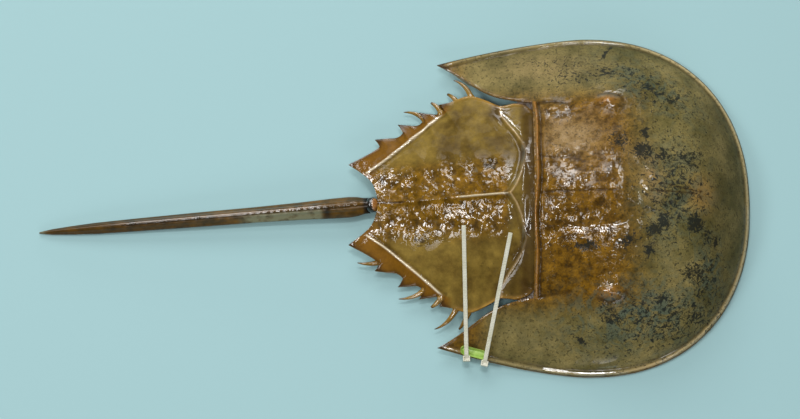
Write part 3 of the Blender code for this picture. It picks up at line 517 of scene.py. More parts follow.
# Where each colour lies: the bead of the rim, the worn and grown-over places, and the water
rim_near = nearest(x, y, [np.vstack([outer[::-1] * (1.0, -1.0), outer])[::3]])
edge_near = lines(x, y, [[p[:2] for p in POINT_EDGE], [(p[0], -p[1]) for p in POINT_EDGE]], 1.4)
over_hinge = np.abs(y) < CORNER_Y
from_bead = x - BORDER_X - bead_sway(y)
warm = soft_step((80.0 - x) / 36.0) * soft_step((76.0 - np.abs(y + 1.0)) / 20.0)
warm = np.maximum(warm, 0.9 * soft_step((-20.0 - x) / 20.0) * soft_step((20.0 - y) / 20.0)
                  + 0.7 * soft_step((-34.0 - x) / 18.0) * (y > 0.0))
front_right = soft_step((x - 50.0) / 30.0) * soft_step((-10.0 - y) / 40.0)
gold = (0.8 * front_right * bump(rim_near - 1.0, 1.0) + 0.3 * edge_near
        + 1.0 * bump(from_bead, 0.8) * over_hinge
        + spots(x, np.abs(y), [(*EYE, 6.0, 3.0, 0, 0.9)]))
# Dark marks: the rim's outer edge, the eye dots, the edges and tips of the corner points and a
# faint patch on the right flank by the hinge; and painted shade in the rim's hollow, the groove
# ahead of the hinge bead, and the grooves of the seam and folds
dark = (0.9 * bump(rim_near, 0.55) + 0.5 * bump(rim_near - 3.4, 0.9)
        + 0.9 * bump(from_bead - GROOVE_OFF, 0.9) * over_hinge
        + 0.8 * lines(x, y, SEAM, 0.55) + 0.8 * lines(x, y, FOLDS, 1.0)
        + spots(x, y, EYE_DOTS) + spots(x, y, [(4.0, -80.0, 30.0, 14.0, 0, 0.16)])
        # Painted shade: the front slope of the dome, which turns away from the lamps, is darkened
        + 0.24 * soft_step((x - 92.0) / 24.0) * soft_step((rim_near - 3.0) / 4.0)
        + 0.35 * edge_near + 0.85 * soft_step((-51.0 - x) / 4.5))
rugged = soft_step((72.0 - np.abs(y)) / 16.0) * soft_step((88.0 - x) / 26.0)
wet = (spots(x, y, WET) + 0.05 * rugged + 0.7 * edge_near
       + bump(rim_near - 4.5, 3.5) * bump(x - 48.0, 30.0) * (y < -60.0)
       + (0.9 - 0.5 * (y > 0.0)) * bump(rim_near - 1.8, 1.8)
       + 0.8 * bump(from_bead, 1.5) * over_hinge)
give(head, warm=warm, gold=np.clip(gold, 0.0, 1.0), dark=np.clip(dark, 0.0, 1.0),
     stain=np.minimum(spots(x, y, STAINS), THICKEST_STAIN), pale=spots(x, y, PALE),
     tan=spots(x, y, TAN), veil=spots(x, y, VEIL), rugged=rugged, wet=np.clip(wet, 0.0, 1.0),
     rim=bump(rim_near - 1.3, 1.0) * (0.3 + 0.7 * soft_step((x - 40.0) / 50.0)))

# Wet chitin is a hard, clear-varnished brown horn. Its gloss is sharp, and the film of water
# over its wrinkles breaks the light into small white glints.
material, tree, shader, place, mask = finish(
    "wet_mottled_chitin", "warm", "gold", "dark", "stain", "veil", "pale", "tan", "rim", "rugged",
    "wet", "inside")
colour, mottle, grain = shield_horn(
    tree, place, mask["warm"], ground=((0.36, "57512c"), (0.66, "847648")),
    ochre=((0.35, "452e04"), (0.68, "7e5a10")), blotch=26.316, fleck=5.263, grit=(0.82, 1.15))
# A limy bloom in pale patches, broken by the mottling
bloom = node(tree, "MapRange", {"Value": mottle.outputs["Fac"], "From Min": 0.38, "From Max": 0.6,
                                "To Min": 0.35, "To Max": 1.0})
bloom = node(tree, "Math", {0: bloom.outputs["Result"], 1: mask["pale"]}, operation="MULTIPLY")
# Algae: a thin dark green veil in branching patches, and on it black islands about 1 to 3 mm
# wide, dense where the stain mask is high
film_of = node(tree, "TexNoise", {"Vector": place, "Scale": per(8.333), "Detail": 6.0,
                                  "Roughness": 0.68, "Distortion": 1.2})
film_of = node(tree, "MapRange", {"Value": film_of.outputs["Fac"], "From Min": 0.46,
                                  "From Max": 0.58, "To Min": 0.0, "To Max": 0.85})
veil = node(tree, "Math", {0: film_of.outputs["Result"], 1: mask["veil"]}, operation="MULTIPLY")
islands = node(tree, "TexNoise", {"Vector": place, "Scale": per(2.6316), "Detail": 7.0,
                                  "Roughness": 0.78, "Distortion": 0.7})
ragged = node(tree, "MapRange", {"Value": islands.outputs["Fac"], "From Min": 0.38,
                                 "From Max": 0.62})
reach = node(tree, "MapRange", {"Value": mask["stain"], "To Min": -0.19, "To Max": 0.85},
             clamp=False)
reach = node(tree, "Math", {0: ragged.outputs["Result"], 1: reach.outputs["Result"]},
             operation="ADD")
algae = node(tree, "MapRange", {"Value": reach.outputs[0], "From Min": 0.75, "From Max": 0.9,
                                "To Min": 0.0, "To Max": 0.92})
specks = node(tree, "TexNoise", {"Vector": place, "Scale": per(1.613), "Detail": 2.0,
                                 "Roughness": 0.5})
specks = node(tree, "MapRange", {"Value": specks.outputs["Fac"], "From Min": 0.58, "From Max": 0.66,
                                 "To Min": 0.0, "To Max": 0.55})
dark_and_shade = node(tree, "Math", {0: mask["dark"], 1: 0.85}, operation="MULTIPLY")
# From the ground up: bloom, worn horn and the pale bead, then the algae, the dark marks with the
# painted shade in the grooves and on the front slope, and the plain inner face
for share_of, code in ((bloom.outputs[0], "937b54"), (mask["tan"], "8a6a34"),
                       (mask["gold"], "96672a"), (mask["rim"], "b8a578"),
                       (veil.outputs[0], "49574a"), (algae.outputs["Result"], "1b1f1d"),
                       (specks.outputs["Result"], "2a2614"), (dark_and_shade.outputs[0], "2c1c08"),
                       (mask["inside"], "a5814d")):
    colour = node(tree, "Mix", {0: share_of, 6: colour.outputs[2], 7: paint(code)},
                  data_type="RGBA")
feed(tree, shader, {"Base Color": colour.outputs[2]})
under_water(tree, shader, place, mask, grain, tooth=0.25, ripple=5.263, depth=0.8, puddle=10.526,
            shore=(0.41, 0.54), roughness=0.5)
dress(head, material, "head", "head_chitin", "head_shield")

# Abdomen shield
# One piece of horny chitin that hangs from the head shield by a broad hinge: a crested roof with
# two wings, a sunken neck that slides under the head shield, six pairs of pits where the muscles
# of the gills were fixed inside, and a flat flange cut into teeth, dark at their points.

HINGE_Z, HINGE_GAP, NECK_REACH = 22.0, 0.8, 32.0
MARGIN = [
    [(2.2, 51.5), (-0.6, 54.2), (-3.0, 57.4), (-6.0, 59.6), (-11.0, 60.5), (-16.0, 59.7),
     (-20.0, 59.4), (-24.5, 61.4), (-30.0, 64.4), (-36.0, 66.7), (-40.0, 66.9), (-45.0, 65.6),
     (-50.0, 63.8), (-57.0, 62.4)],
    [(-57.0, 62.4), (-55.2, 58.8), (-58.0, 56.6), (-63.0, 57.0), (-69.0, 57.9)],
    [(-69.0, 57.9), (-66.8, 53.0), (-70.0, 49.8), (-75.5, 49.9), (-82.0, 50.4)],
    [(-82.0, 50.4), (-78.8, 45.8), (-82.5, 42.2), (-89.0, 41.5), (-96.0, 40.7)],
    [(-96.0, 40.7), (-93.0, 36.8), (-97.0, 33.2), (-103.5, 29.4), (-112.0, 24.9)],
]
MARGIN_STEPS, TOOTH_FADE, TOOTH_SMOOTHINGS = [13, 4, 4, 4, 5], 8, 60
MARGIN_HEIGHT = [(-112.0, 9.5), (-96.0, 7.4), (-82.0, 6.6), (-60.0, 7.2), (-50.0, 8.6),
                 (-38.0, 11.4), (-28.0, 15.4), (-20.0, 18.8), (-10.0, 21.8), (-3.0, 22.8),
                 (1.0, 24.0)]
BACK_HEIGHT = [(-94.0, 14.6), (-82.0, 17.4), (-67.0, 22.4), (-45.0, 32.0), (-28.0, 39.6),
               (-14.0, 44.8), (-7.0, 43.4), (-2.0, 44.2), (13.0, 42.0)]
NOTCH = [(-94.0, 0.0, 14.6), (-95.0, 5.5, 13.6), (-96.6, 10.5, 12.8), (-99.0, 14.6, 12.2),
         (-104.5, 19.6, 11.0), (-112.0, 24.9, 9.5)]
REAR_SHARE, ABDOMEN_FULL = 0.7, 0.55
NECK_BACK, NECK_FADE, NECK_HALF, NECK_HALF_FADE, NECK_CLIMB = -8.0, 6.0, 54.5, 3.0, 3.0
ABDOMEN_BRIM, ABDOMEN_BRIM_STEP, ABDOMEN_EDGE = 8.0, 5.0, 1.8
NO_BRIM_FROM, NO_BRIM_OVER = -24.0, 12.0
# The thin raised line behind the neck: distance from the middle, x
FRONT_LINE = [(0.0, -14.5), (5.5, -10.8), (12.7, -7.8), (20.0, -6.0), (26.3, -4.7),
              (34.0, -7.1), (40.0, -10.8), (46.0, -15.0), (53.0, -19.6)]
FRONT_PROFILE = [(1.1, 0.0, 2.6), (0.8, 0.0, 0.7), (-0.7, -3.2, 1.5)]
# The fold between wing and flange: x, distance from the middle
FOLD_LINE = [(-101.0, 18.6), (-92.0, 24.8), (-88.5, 27.4), (-80.0, 34.4), (-73.5, 39.9),
             (-68.0, 44.4), (-58.0, 53.2), (-52.0, 57.4)]
FOLD_PROFILE = [(-0.9, -1.4, 1.2), (1.0, 0.9, 1.0)]
PITS, PIT_TURN = [(-24.0 - 12.4 * k, 20.0 - 1.9 * k) for k in range(6)], 28.65
ABDOMEN_STAINS = [(-40.0, -6.0, 26.0, 12.0, 0, 0.36), (-68.0, -24.0, 8.0, 5.0, 0, 0.5),
                  (-26.0, 20.0, 8.0, 6.0, 0, 0.5), (-4.0, -19.0, 3.0, 8.0, 0, 0.6),
                  (-70.0, 6.0, 12.0, 8.0, 0, 0.36), (-28.0, -40.0, 12.0, 5.0, -10, 0.3),
                  (-90.0, 14.0, 6.0, 5.0, 0, 0.5)]
FINER_ROWS, ACROSS = 6, 72


def neck_radius(y):
    """The radius at which the neck turns under the head shield."""
    return hinge_arch(y) - WALL - HINGE_GAP - HINGE_Z


def along_margin(fineness):
    """Points along the toothed margin, this many to each of its steps."""
    stretches = [evenly(curve(stretch), np.linspace(0, 1, n * fineness + 1))
                 for stretch, n in zip(MARGIN, MARGIN_STEPS)]
    return np.vstack([stretches[0]] + [stretch[1:] for stretch in stretches[1:]])


def smoothed(heights, reach):
    """Heights averaged three times with this many neighbours on each side."""
    span = 2 * reach + 1
    for _ in range(3):
        heights = np.convolve(np.pad(heights, reach, "edge"), np.ones(span) / span, "valid")
    return heights


# The margin, and the same line with its teeth smoothed away, which the shell's grid follows
margin = along_margin(FINER_ROWS)
plain = along_margin(1)
for _ in range(TOOTH_SMOOTHINGS):
    plain[1:-1] = (plain[:-2] + 2 * plain[1:-1] + plain[2:]) / 4
plain = curve(plain, FINER_ROWS)
rows = len(margin)
steps = np.linspace(0.0, 1.0, ACROSS + 1)
outward = steps - 0.5 * np.sin(2 * math.pi * steps) / (2 * math.pi)
rearward = np.linspace(0.0, 1.0, rows)
front_y = outward * MARGIN[0][0][1]
front = np.stack([neck_radius(front_y) * math.sin(math.radians(NECK_REACH)), front_y], 1)
front[-1] = plain[0]
back_x = np.linspace(front[0, 0], NOTCH[0][0], rows)
rear = evenly(curve(NOTCH), outward)
plan = patch(front, rear[:, :2], np.stack([back_x, np.zeros(rows)], 1), plain, rearward, outward)
plan = plan + (margin - plain)[:, None, :] * outward[None, :, None] ** TOOTH_FADE
x, y = plan[..., 0], plan[..., 1]
edge = smoothed(read(plain[:, 0], MARGIN_HEIGHT), 12)[:, None]
middle = smoothed(read(back_x, BACK_HEIGHT), 6)[:, None]
out_share, rear_share = outward[None, :], rearward[:, None]
base = edge + (middle - edge) * (1 - out_share) * (1 + ABDOMEN_FULL * out_share)
at_rear = soft_step((rear_share - REAR_SHARE) / (1 - REAR_SHARE))
base += at_rear * (rear[:, 2][None, :] - base)
from_margin = np.linalg.norm(plan - plan[:, -1:], axis=2)
from_rear = np.linalg.norm(plan - plan[-1:], axis=2)


def abdomen_skin(x, y):
    """The crest, the raised lines, the pits, the fold of the flange and the wrinkles."""
    side = np.abs(y)
    crest = 1.2 * bump(y, 1.6) * soft_step((-6.0 - x) / 8.0)
    crest += 0.7 * bump(y, 0.55) * soft_step((-14.0 - x) / 2.0) * soft_step((x + 48.0) / 10.0)
    crest -= 1.1 * bump(y, 0.6) * soft_step((-76.0 - x) / 3.0)
    off = x - read(side, FRONT_LINE)
    ridges = profile(off, FRONT_PROFILE)
    wing_fold = lines(x, side, [[(-14.5, 36.0), (-22.0, 44.0), (-27.0, 52.0)]], 1.2)
    past = side - read(x, FOLD_LINE)
    on_fold = soft_step((x + 101.0) / 3.0) * soft_step((-50.0 - x) / 6.0)
    fold = (profile(past, FOLD_PROFILE)
            + 0.5 * soft_step((past - 0.4) / 1.6) * soft_step((7.0 - past) / 5.0)) * on_fold
    pits = np.zeros_like(x)
    c, n = math.cos(math.radians(PIT_TURN)), math.sin(math.radians(PIT_TURN))
    for px, py in PITS:
        dx, dy = x - px, side - py
        along, across = dx * c + dy * n, dy * c - dx * n
        pits -= 1.5 * bump(dx, 4.0) * bump(dy, 3.2)
        pits -= 0.9 * bump(along, 2.2) * bump(across, 1.3)
        pits += 0.5 * bump(along + 3.2, 1.6) * bump(across - 1.0, 2.4)
    near_middle = soft_step((27.0 - side) / 10.0) * soft_step((-15.0 - x) / 6.0)
    rough = (0.5 * uneven(x, y, 6.0, 3, 12.0) + 0.3 * uneven(x, y, 2.6, 2, 17.0)) * near_middle
    soft = 0.3 * uneven(x, y, 16.0, 2, 21.0)
    return crest + ridges + fold + pits + 0.8 * rough + soft - 0.5 * wing_fold


def abdomen_top(x, y, side):
    """The whole top surface of one side, side being 1 or -1."""
    keep = soft_step((1 - out_share) * 3) * soft_step((1 - rear_share) * 8)
    high = base + abdomen_skin(x, y * side) * keep
    radius = np.clip(neck_radius(y), 0.5, None)
    round_top = HINGE_Z + np.sqrt(np.clip(radius ** 2 - x ** 2, 0.0, None))
    share = soft_step((x - NECK_BACK) / NECK_FADE) * soft_step((NECK_HALF - y) / NECK_HALF_FADE)
    high = high + (np.minimum(round_top, high + NECK_CLIMB) - high) * share
    front_side = soft_step((x + 52.0) / 10.0) * soft_step((-2.0 - x) / 4.0)
    return high + 0.55 * bump(from_margin - 1.1, 1.0) * front_side - 0.15 * bump(from_margin, 0.5)


inward = (soft_step((from_margin - ABDOMEN_BRIM) / ABDOMEN_BRIM_STEP)
          * soft_step((from_rear - ABDOMEN_BRIM) / ABDOMEN_BRIM_STEP))
inward = np.maximum(inward, soft_step((x - NO_BRIM_FROM) / NO_BRIM_OVER))
brim = edge - ABDOMEN_EDGE + at_rear * (rear[:, 2][None, :] - edge)
halves = []
for side in (-1, 1):
    high = abdomen_top(x, y, side)
    low = np.minimum(brim + (high - WALL - brim) * inward, high - LEAST_WALL)
    halves.append((np.concatenate([plan * (1.0, side), high[..., None]], axis=2), low))
whole = np.concatenate([halves[0][0][:, :0:-1], halves[1][0]], axis=1)
whole_low = np.concatenate([halves[0][1][:, :0:-1], halves[1][1]], axis=1)
abdomen, x, y, z = shell("abdomen_shield_skin", [(whole, whole_low)])

# Where each colour lies: worn raised lines with a painted highlight on them, a painted highlight
# along the flange's fold, the redder flange, dark tips, painted shade in the pits, grooves and
# neck, and the water
side = np.abs(y)
off = x - read(side, FRONT_LINE)
past = side - read(x, FOLD_LINE)
edge_near = lines(x, y, [[tuple(p) for p in margin], [(p[0], -p[1]) for p in margin]], 1.5)
flange = np.maximum(soft_step((past + 0.5) / 1.2) * soft_step((-48.0 - x) / 6.0),
                    soft_step((-94.0 - x) / 6.0) * soft_step((side - 12.0) / 3.0))
gold = (0.6 * edge_near * soft_step((x + 52.0) / 10.0) + 0.5 * bump(off, 0.7) * (x < -3.0)
        + 0.5 * bump(y, 0.7) * (x < -14.0) * (x > -50.0))
tips = [(line[-1][0] + 1.0, line[-1][1] - 0.5, 3.4, 2.6, 0, 1.0) for line in MARGIN]
# Dark tips and back edges of the flange, and painted shade: darker in the pits, the groove ahead of
# the front line, the slot at the back of the crest and the valley of the fold, and over the neck,
# which lies in the head shield's shadow
dark = (spots(x, side, tips) + 0.6 * edge_near * (x < -50.0)
        + 0.45 * spots(x, side, [(px, py, 2.6, 1.7, PIT_TURN, 1.0) for px, py in PITS])
        + 0.5 * bump(off + 2.6, 1.2) * (x < -5.0)
        + bump(y, 0.6) * soft_step((-76.0 - x) / 3.0) + 0.8 * soft_step((x + 10.0) / 5.0)
        + 0.5 * bump(past + 1.4, 0.8) * (x < -52.0) * (x > -100.0))
# A painted highlight: near-white along the fold between wing and flange; on the front line and the
# crest it is partly pale wear and partly painted highlight
fold_near = (lines(x, side, [[(px, py + 0.7) for px, py in FOLD_LINE]], 0.45)
             * soft_step((-54.0 - x) / 4.0))
midline = bump(y, 0.4) * soft_step((-15.0 - x) / 2.0)
worn = (fold_near + 0.22 * bump(off, 0.5) * (x < -4.5)
        + 0.8 * midline * soft_step((x + 47.0) / 4.0))
wet = (bump(side - 13.0, 8.5) * soft_step((-10.0 - x) / 5.0) + 0.9 * bump(off - 1.0, 4.0)
       + 2 * fold_near + 0.3 * edge_near + 0.9 * midline + 0.03)
rugged = (soft_step((29.0 - side) / 9.0) * soft_step((-12.0 - x) / 4.0)
          + 0.45 * soft_step((x + 26.0) / 12.0))
give(abdomen, warm=soft_step((30.0 - side) / 16.0) * soft_step((-14.0 - x) / 4.0),
     gold=np.clip(gold, 0.0, 1.0), flange=flange, dark=np.clip(dark, 0.0, 1.0),
     worn=np.clip(worn, 0.0, 1.0), wet=np.clip(wet, 0.0, 1.0), rugged=np.clip(rugged, 0.0, 1.0),
     stain=spots(x, y, ABDOMEN_STAINS))

# Thinner and cleaner than the head's, so the horn shows its own golden brown; the flange is
# redder, and the raised lines and the beaded front edge are worn to a pale gold.
golden_chitin, tree, shader, place, mask = finish(
    "wet_golden_chitin", "warm", "gold", "flange", "dark", "worn", "stain", "rugged", "wet",
    "inside")
colour, mottle, grain = shield_horn(
    tree, place, mask["warm"], ground=((0.4, "554217"), (0.6, "7b652b")),
    ochre=((0.34, "483204"), (0.68, "825e12")), blotch=22.222, fleck=4.762, grit=(0.9, 1.08),
    coats=((mask["flange"], "704c10"),))
islands = node(tree, "TexNoise", {"Vector": place, "Scale": per(3.03), "Detail": 4.0,
                                  "Roughness": 0.62, "Distortion": 0.4})
reach = node(tree, "Math", {0: islands.outputs["Fac"], 1: mask["stain"]}, operation="ADD")
algae = node(tree, "MapRange", {"Value": reach.outputs[0], "From Min": 0.84, "From Max": 1.0,
                                "To Min": 0.0, "To Max": 0.8})
dark_and_shade = node(tree, "Math", {0: mask["dark"], 1: 0.85}, operation="MULTIPLY")
# Over the ground: the pale gold lines, the near-white painted highlight with pale wear, the algae,
# the dark marks with their painted shade, and the plain inner face
for share_of, code in ((mask["gold"], "a67c36"), (mask["worn"], "eadfc3"),
                       (algae.outputs["Result"], "2a2010"), (dark_and_shade.outputs[0], "33200a"),
                       (mask["inside"], "a5814d")):
    colour = node(tree, "Mix", {0: share_of, 6: colour.outputs[2], 7: paint(code)},
                  data_type="RGBA")
feed(tree, shader, {"Base Color": colour.outputs[2]})
under_water(tree, shader, place, mask, grain, tooth=0.2, ripple=5.882, depth=0.9, puddle=9.091,
            shore=(0.4, 0.5), roughness=0.48)
dress(abdomen, golden_chitin, "abdomen", "abdomen_chitin", "abdomen_shield")

# Hinge membranes
# Soft brown cuticle that closes each end of the hinge under the shields' corners. It is thin and
# wrinkled, and on the animal stretches as the abdomen folds; here it is a still sheet fixed to
# neither shield.

MEMBRANE_X, MEMBRANE_Y, MEMBRANE_Z, MEMBRANE_SAG = (1.6, -9.5), (49.5, 62.0), 20.6, 0.9
MEMBRANE_STEPS, MEMBRANE_THICK = (44, 50), 0.8

material, tree, shader, place, _ = finish("soft_brown_cuticle")
mottle = node(tree, "TexNoise", {"Vector": place, "Scale": per(3.03), "Detail": 4.0,
                                 "Roughness": 0.6})
brown = node(tree, "ValToRGB", {"Fac": mottle.outputs["Fac"]},
             stops=((0.35, "2f1f0b"), (0.65, "5e4015")))
creases = node(tree, "Bump", {"Height": mottle.outputs["Fac"], "Strength": 0.5,
                              "Distance": 0.8 * MM})
feed(tree, shader, {"Base Color": brown.outputs["Color"], "Normal": creases.outputs["Normal"],
                    "Roughness": 0.35})
for side, name in ((1, "left_hinge_membrane"), (-1, "right_hinge_membrane")):
    across = np.linspace(*MEMBRANE_Y, MEMBRANE_STEPS[0])[None, :]
    back = np.linspace(*MEMBRANE_X, MEMBRANE_STEPS[1])[:, None]
    x, y = np.broadcast_arrays(back, across * side)
    z = MEMBRANE_Z - MEMBRANE_SAG * bump(across - 57.0, 4.0) + 0.25 * uneven(x, y, 4.0, 3, 31.0)
    membrane = skin(name, np.stack([x, y, z], 2))
    del membrane["order"]
    thick = membrane.modifiers.new("thick", "SOLIDIFY")
    thick.thickness, thick.offset = MEMBRANE_THICK * MM, 0.0
    bpy.ops.object.modifier_apply(modifier="thick")
    tidy_normals(membrane, 60.0)
    membrane.data.materials.append(material)
    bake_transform(membrane)

# Side spines
# Curved movable spines of the same horn, each set in a small round socket in the flange between
# the teeth. Some are worn blunt. Each row: root x and y, tip x, y and z, bow, and tip radius.

SIDE_SPINES = [
    (-36.5, 64.4, -47.9, 78.1, 7.0, 2.4, 0.2), (-44.6, 61.6, -51.6, 70.0, 4.2, 1.0, 0.7),
    (-55.2, 57.2, -61.6, 64.6, 4.0, 0.8, 0.7), (-64.6, 52.2, -78.4, 58.4, 5.4, 2.0, 0.2),
    (-38.4, -64.2, -44.9, -75.9, 3.6, 0.8, 0.6), (-45.8, -62.2, -59.8, -76.3, 6.0, 2.4, 0.2),
    (-55.6, -57.2, -61.8, -62.6, 4.8, 0.5, 0.7), (-65.0, -51.4, -81.5, -57.6, 5.4, 1.8, 0.2),
    (-92.4, -34.6, -106.6, -35.4, 6.4, 1.2, 0.2),
]
SPINE_RADIUS, SPINE_DEEP, SPINE_THINNING, SPINE_RINGS, SPINE_SIDES = 2.0, 1.1, 0.8, 20, 16
SPINE_FLATNESS, SOCKET_LIFT, SOCKET_RADII = 0.85, 0.4, (2.7, 2.7, 1.6)


def rod(name, rings, sides):
    """A cylinder primitive cut into rings, with each vertex's share along it and turn round it."""
    made = begin(name, bpy.ops.mesh.primitive_cylinder_add, vertices=sides, radius=1.0, depth=1.0,
                 end_fill_type="NGON")
    bpy.ops.object.mode_set(mode="EDIT")
    for k in range(1, rings):
        bpy.ops.mesh.select_all(action="SELECT")
        bpy.ops.mesh.bisect(plane_co=(0, 0, k / rings - 0.5), plane_no=(0, 0, 1))
    bpy.ops.object.mode_set(mode="OBJECT")
    flat = places_of(made)
    return made, flat[:, 2] + 0.5, np.arctan2(flat[:, 1], flat[:, 0])


def place_all(made, points):
    """Puts a mesh's vertices at points in the hinge frame."""
    made.data.vertices.foreach_set("co", to_row(points).ravel())
    made.data.update()


def join(name, parts):
    """Joins parts to the first of them."""
    bpy.ops.object.select_all(action="DESELECT")
    for part in parts:
        part.select_set(True)
    bpy.context.view_layer.objects.active = parts[0]
    bpy.ops.object.join()
    parts[0].name = parts[0].data.name = name
    return parts[0]


spines = []
for root_x, root_y, tip_x, tip_y, tip_z, bow, tip_radius in SIDE_SPINES:
    root = np.array([root_x, root_y, read(root_x, MARGIN_HEIGHT) - SPINE_DEEP])
    tip = np.array([tip_x, tip_y, tip_z])
    out = np.array([0.5, math.copysign(0.87, root_y), 0.0])
    spine, share, round_it = rod("spine", SPINE_RINGS, SPINE_SIDES)
    line = (root + (tip - root) * share[:, None]
            + out * (bow * 4 * share * (1 - share))[:, None])
    ahead = (tip - root) + out * (bow * 4 * (1 - 2 * share))[:, None]
    ahead /= np.linalg.norm(ahead, axis=1)[:, None]
    across = np.cross(ahead, (0.0, 0.0, 1.0))
    across /= np.linalg.norm(across, axis=1)[:, None]
    up = np.cross(across, ahead)
    thin = tip_radius / SPINE_RADIUS
    radius = SPINE_RADIUS * (thin + (1 - thin) * np.clip(1 - share, 0, 1) ** SPINE_THINNING)
    radius = radius * (1 + 0.25 * bump(share - 0.06, 0.07))
    place_all(spine, line + across * (radius * np.cos(round_it))[:, None]
              + up * (SPINE_FLATNESS * radius * np.sin(round_it))[:, None])
    give(spine, dark=0.9 * soft_step((share - 0.72) / 0.28))
    tidy_normals(spine, 60.0)
    spines.append(spine)
    socket = begin("socket", bpy.ops.mesh.primitive_uv_sphere_add, segments=20, ring_count=12,
                   radius=1.0)
    ball = places_of(socket)
    place_all(socket, root + (0.0, 0.0, SOCKET_LIFT) + ball * SOCKET_RADII)
    give(socket, dark=0.45 * (1 - bump(ball[:, 2] - 0.75, 0.5)))
    tidy_normals(socket, 60.0)
    spines.append(socket)
side_spines = join("side_spines", spines)
everywhere = np.ones(len(side_spines.data.vertices))
give(side_spines, wet=0.7 * everywhere, gold=0.25 * everywhere, flange=0.25 * everywhere)
dress(side_spines, golden_chitin, "abdomen", "abdomen_chitin", "abdomen_shield")

# Tail joint
# The knob of soft cuticle that the tail turns on, in the notch of the abdomen: nearly black and
# wet behind, with a small orange-brown plate over its front.

TAIL_JOINT, BALL_RADIUS = np.array([-97.6, 0.0, 8.4]), 4.8
knob = begin("tail_knob", bpy.ops.mesh.primitive_uv_sphere_add, segments=64, ring_count=40,
             radius=1.0)
ball = places_of(knob)
lumps = np.array([noise.fractal(tuple(p * 1.6), 0.7, 2.0, 3) for p in ball.astype(float)])
place_all(knob, TAIL_JOINT + ball * (BALL_RADIUS * (0.965 + 0.035 * lumps))[:, None])
tidy_normals(knob, 60.0)
give(knob, plate=soft_step((ball[:, 0] * 0.9 + ball[:, 2] * 0.5 - 0.35) / 0.2))
material, tree, shader, place, mask = finish("wet_dark_cuticle", "plate")
mottle = node(tree, "TexNoise", {"Vector": place, "Scale": per(2.0), "Detail": 4.0})
brown = node(tree, "ValToRGB", {"Fac": mottle.outputs["Fac"]},
             stops=((0.35, "7a4c18"), (0.65, "a0703a")))
colour = node(tree, "Mix", {0: mask["plate"], 6: paint("17150f"), 7: brown.outputs["Color"]},
              data_type="RGBA")
pores = node(tree, "Bump", {"Height": mottle.outputs["Fac"], "Strength": 0.5,
                            "Distance": 0.6 * MM})
feed(tree, shader, {"Base Color": colour.outputs[2], "Normal": pores.outputs["Normal"],
                    "Roughness": 0.22, "Coat Weight": 0.8, "Coat Roughness": 0.05})
dress(knob, material, "tail_base", "joint_membrane", "tail_joint")

# Tail spine
# A stiff hollow spike of dark horn, three-sided with its keel up, cupped where it meets the knob
# and finely toothed along the keel near its root.

TAIL_TIP, TAIL_START, TAIL_YAW, TAIL_TIP_Z, TAIL_FALL_POWER = 300.3, 4.0, 4.5, 1.3, 1.3
TAIL_WIDTHS = [(0.0, 8.8), (0.025, 10.9), (0.05, 11.8), (0.1, 11.5), (0.2, 10.0), (0.34, 8.9),
               (0.5, 8.4), (0.7, 7.4), (0.83, 6.4), (0.9, 4.9), (0.96, 3.2), (1.0, 1.0)]
TAIL_SECTION_HEIGHT, TAIL_KEEL, TAIL_RINGS, TAIL_SIDES = 0.86, 0.16, 240, 60
KEEL_TOOTH, CUP_GAP = 4.2, 0.35
tail, share, round_it = rod("tail_spine_skin", TAIL_RINGS, TAIL_SIDES)
reach = (TAIL_TIP + TAIL_JOINT[0]) / math.cos(math.radians(TAIL_YAW))
width = read(share, TAIL_WIDTHS)
from_keel = round_it - math.pi / 2
keel_teeth = (0.05 * np.maximum(np.sin(share * reach / KEEL_TOOTH * 2 * math.pi), 0.0)
              * soft_step((0.45 - share) / 0.2) * bump(from_keel, 0.22))
corner = 0.5 * (1 + TAIL_KEEL * np.cos(3 * from_keel) + 0.05 * bump(from_keel, 0.16)
                + keel_teeth)
groove = 0.03 * (bump(round_it - math.radians(48), 0.2) + bump(round_it - math.radians(132), 0.2))
corner -= groove * soft_step((0.5 - share) / 0.3)
out = width * corner
distance = TAIL_START + share * (reach - TAIL_START)
fall = (TAIL_JOINT[2] - TAIL_TIP_Z) * share ** TAIL_FALL_POWER
cup = np.hypot(out * np.cos(round_it), out * TAIL_SECTION_HEIGHT * np.sin(round_it))
ball_face = np.sqrt(np.clip((BALL_RADIUS + CUP_GAP) ** 2 - cup ** 2, 0, None))
distance = np.maximum(np.where(share < 1e-4, ball_face, distance), ball_face)
local = np.stack([-distance, out * np.cos(round_it),
                  out * TAIL_SECTION_HEIGHT * np.sin(round_it) - fall], 1)
c, n = math.cos(math.radians(TAIL_YAW)), math.sin(math.radians(TAIL_YAW))
turned = np.stack([local[:, 0] * c - local[:, 1] * n, local[:, 0] * n + local[:, 1] * c,
                   local[:, 2]], 1)
place_all(tail, TAIL_JOINT + turned)
tidy_normals(tail, 50.0)
lower_side = soft_step((-np.cos(round_it) - 0.05) / 0.25)
# Painted shadow: the dark line just beside the keel, on its lower side. The other dark marks are
# black at the root, darker towards the tip, and a thin band across the lower side near the root
dark = (0.8 * bump(from_keel - 0.12, 0.09) * (share < 0.75)
        + 0.35 * soft_step((share - 0.4) / 0.2) + 0.8 * bump(share - 0.118, 0.012) * lower_side
        + soft_step((0.012 - share) / 0.01))
grey = (lower_side * soft_step((share - 0.125) / 0.02) * soft_step((0.4 - share) / 0.05)
        + soft_step((share - 0.97) / 0.025))
wet = (0.25 + 0.75 * bump(from_keel + 0.25, 0.45) * soft_step((share - 0.12) / 0.03)
       * soft_step((0.8 - share) / 0.1))
give(tail, dark=np.clip(dark, 0.0, 1.0), grey=grey, wet=wet)
material, tree, shader, place, mask = finish("wet_dark_chitin", "dark", "grey", "wet")
mottle = node(tree, "TexNoise", {"Vector": place, "Scale": per(6.25), "Detail": 5.0,
                                 "Roughness": 0.65})
brown = node(tree, "ValToRGB", {"Fac": mottle.outputs["Fac"]},
             stops=((0.34, "382a0c"), (0.68, "684812")))
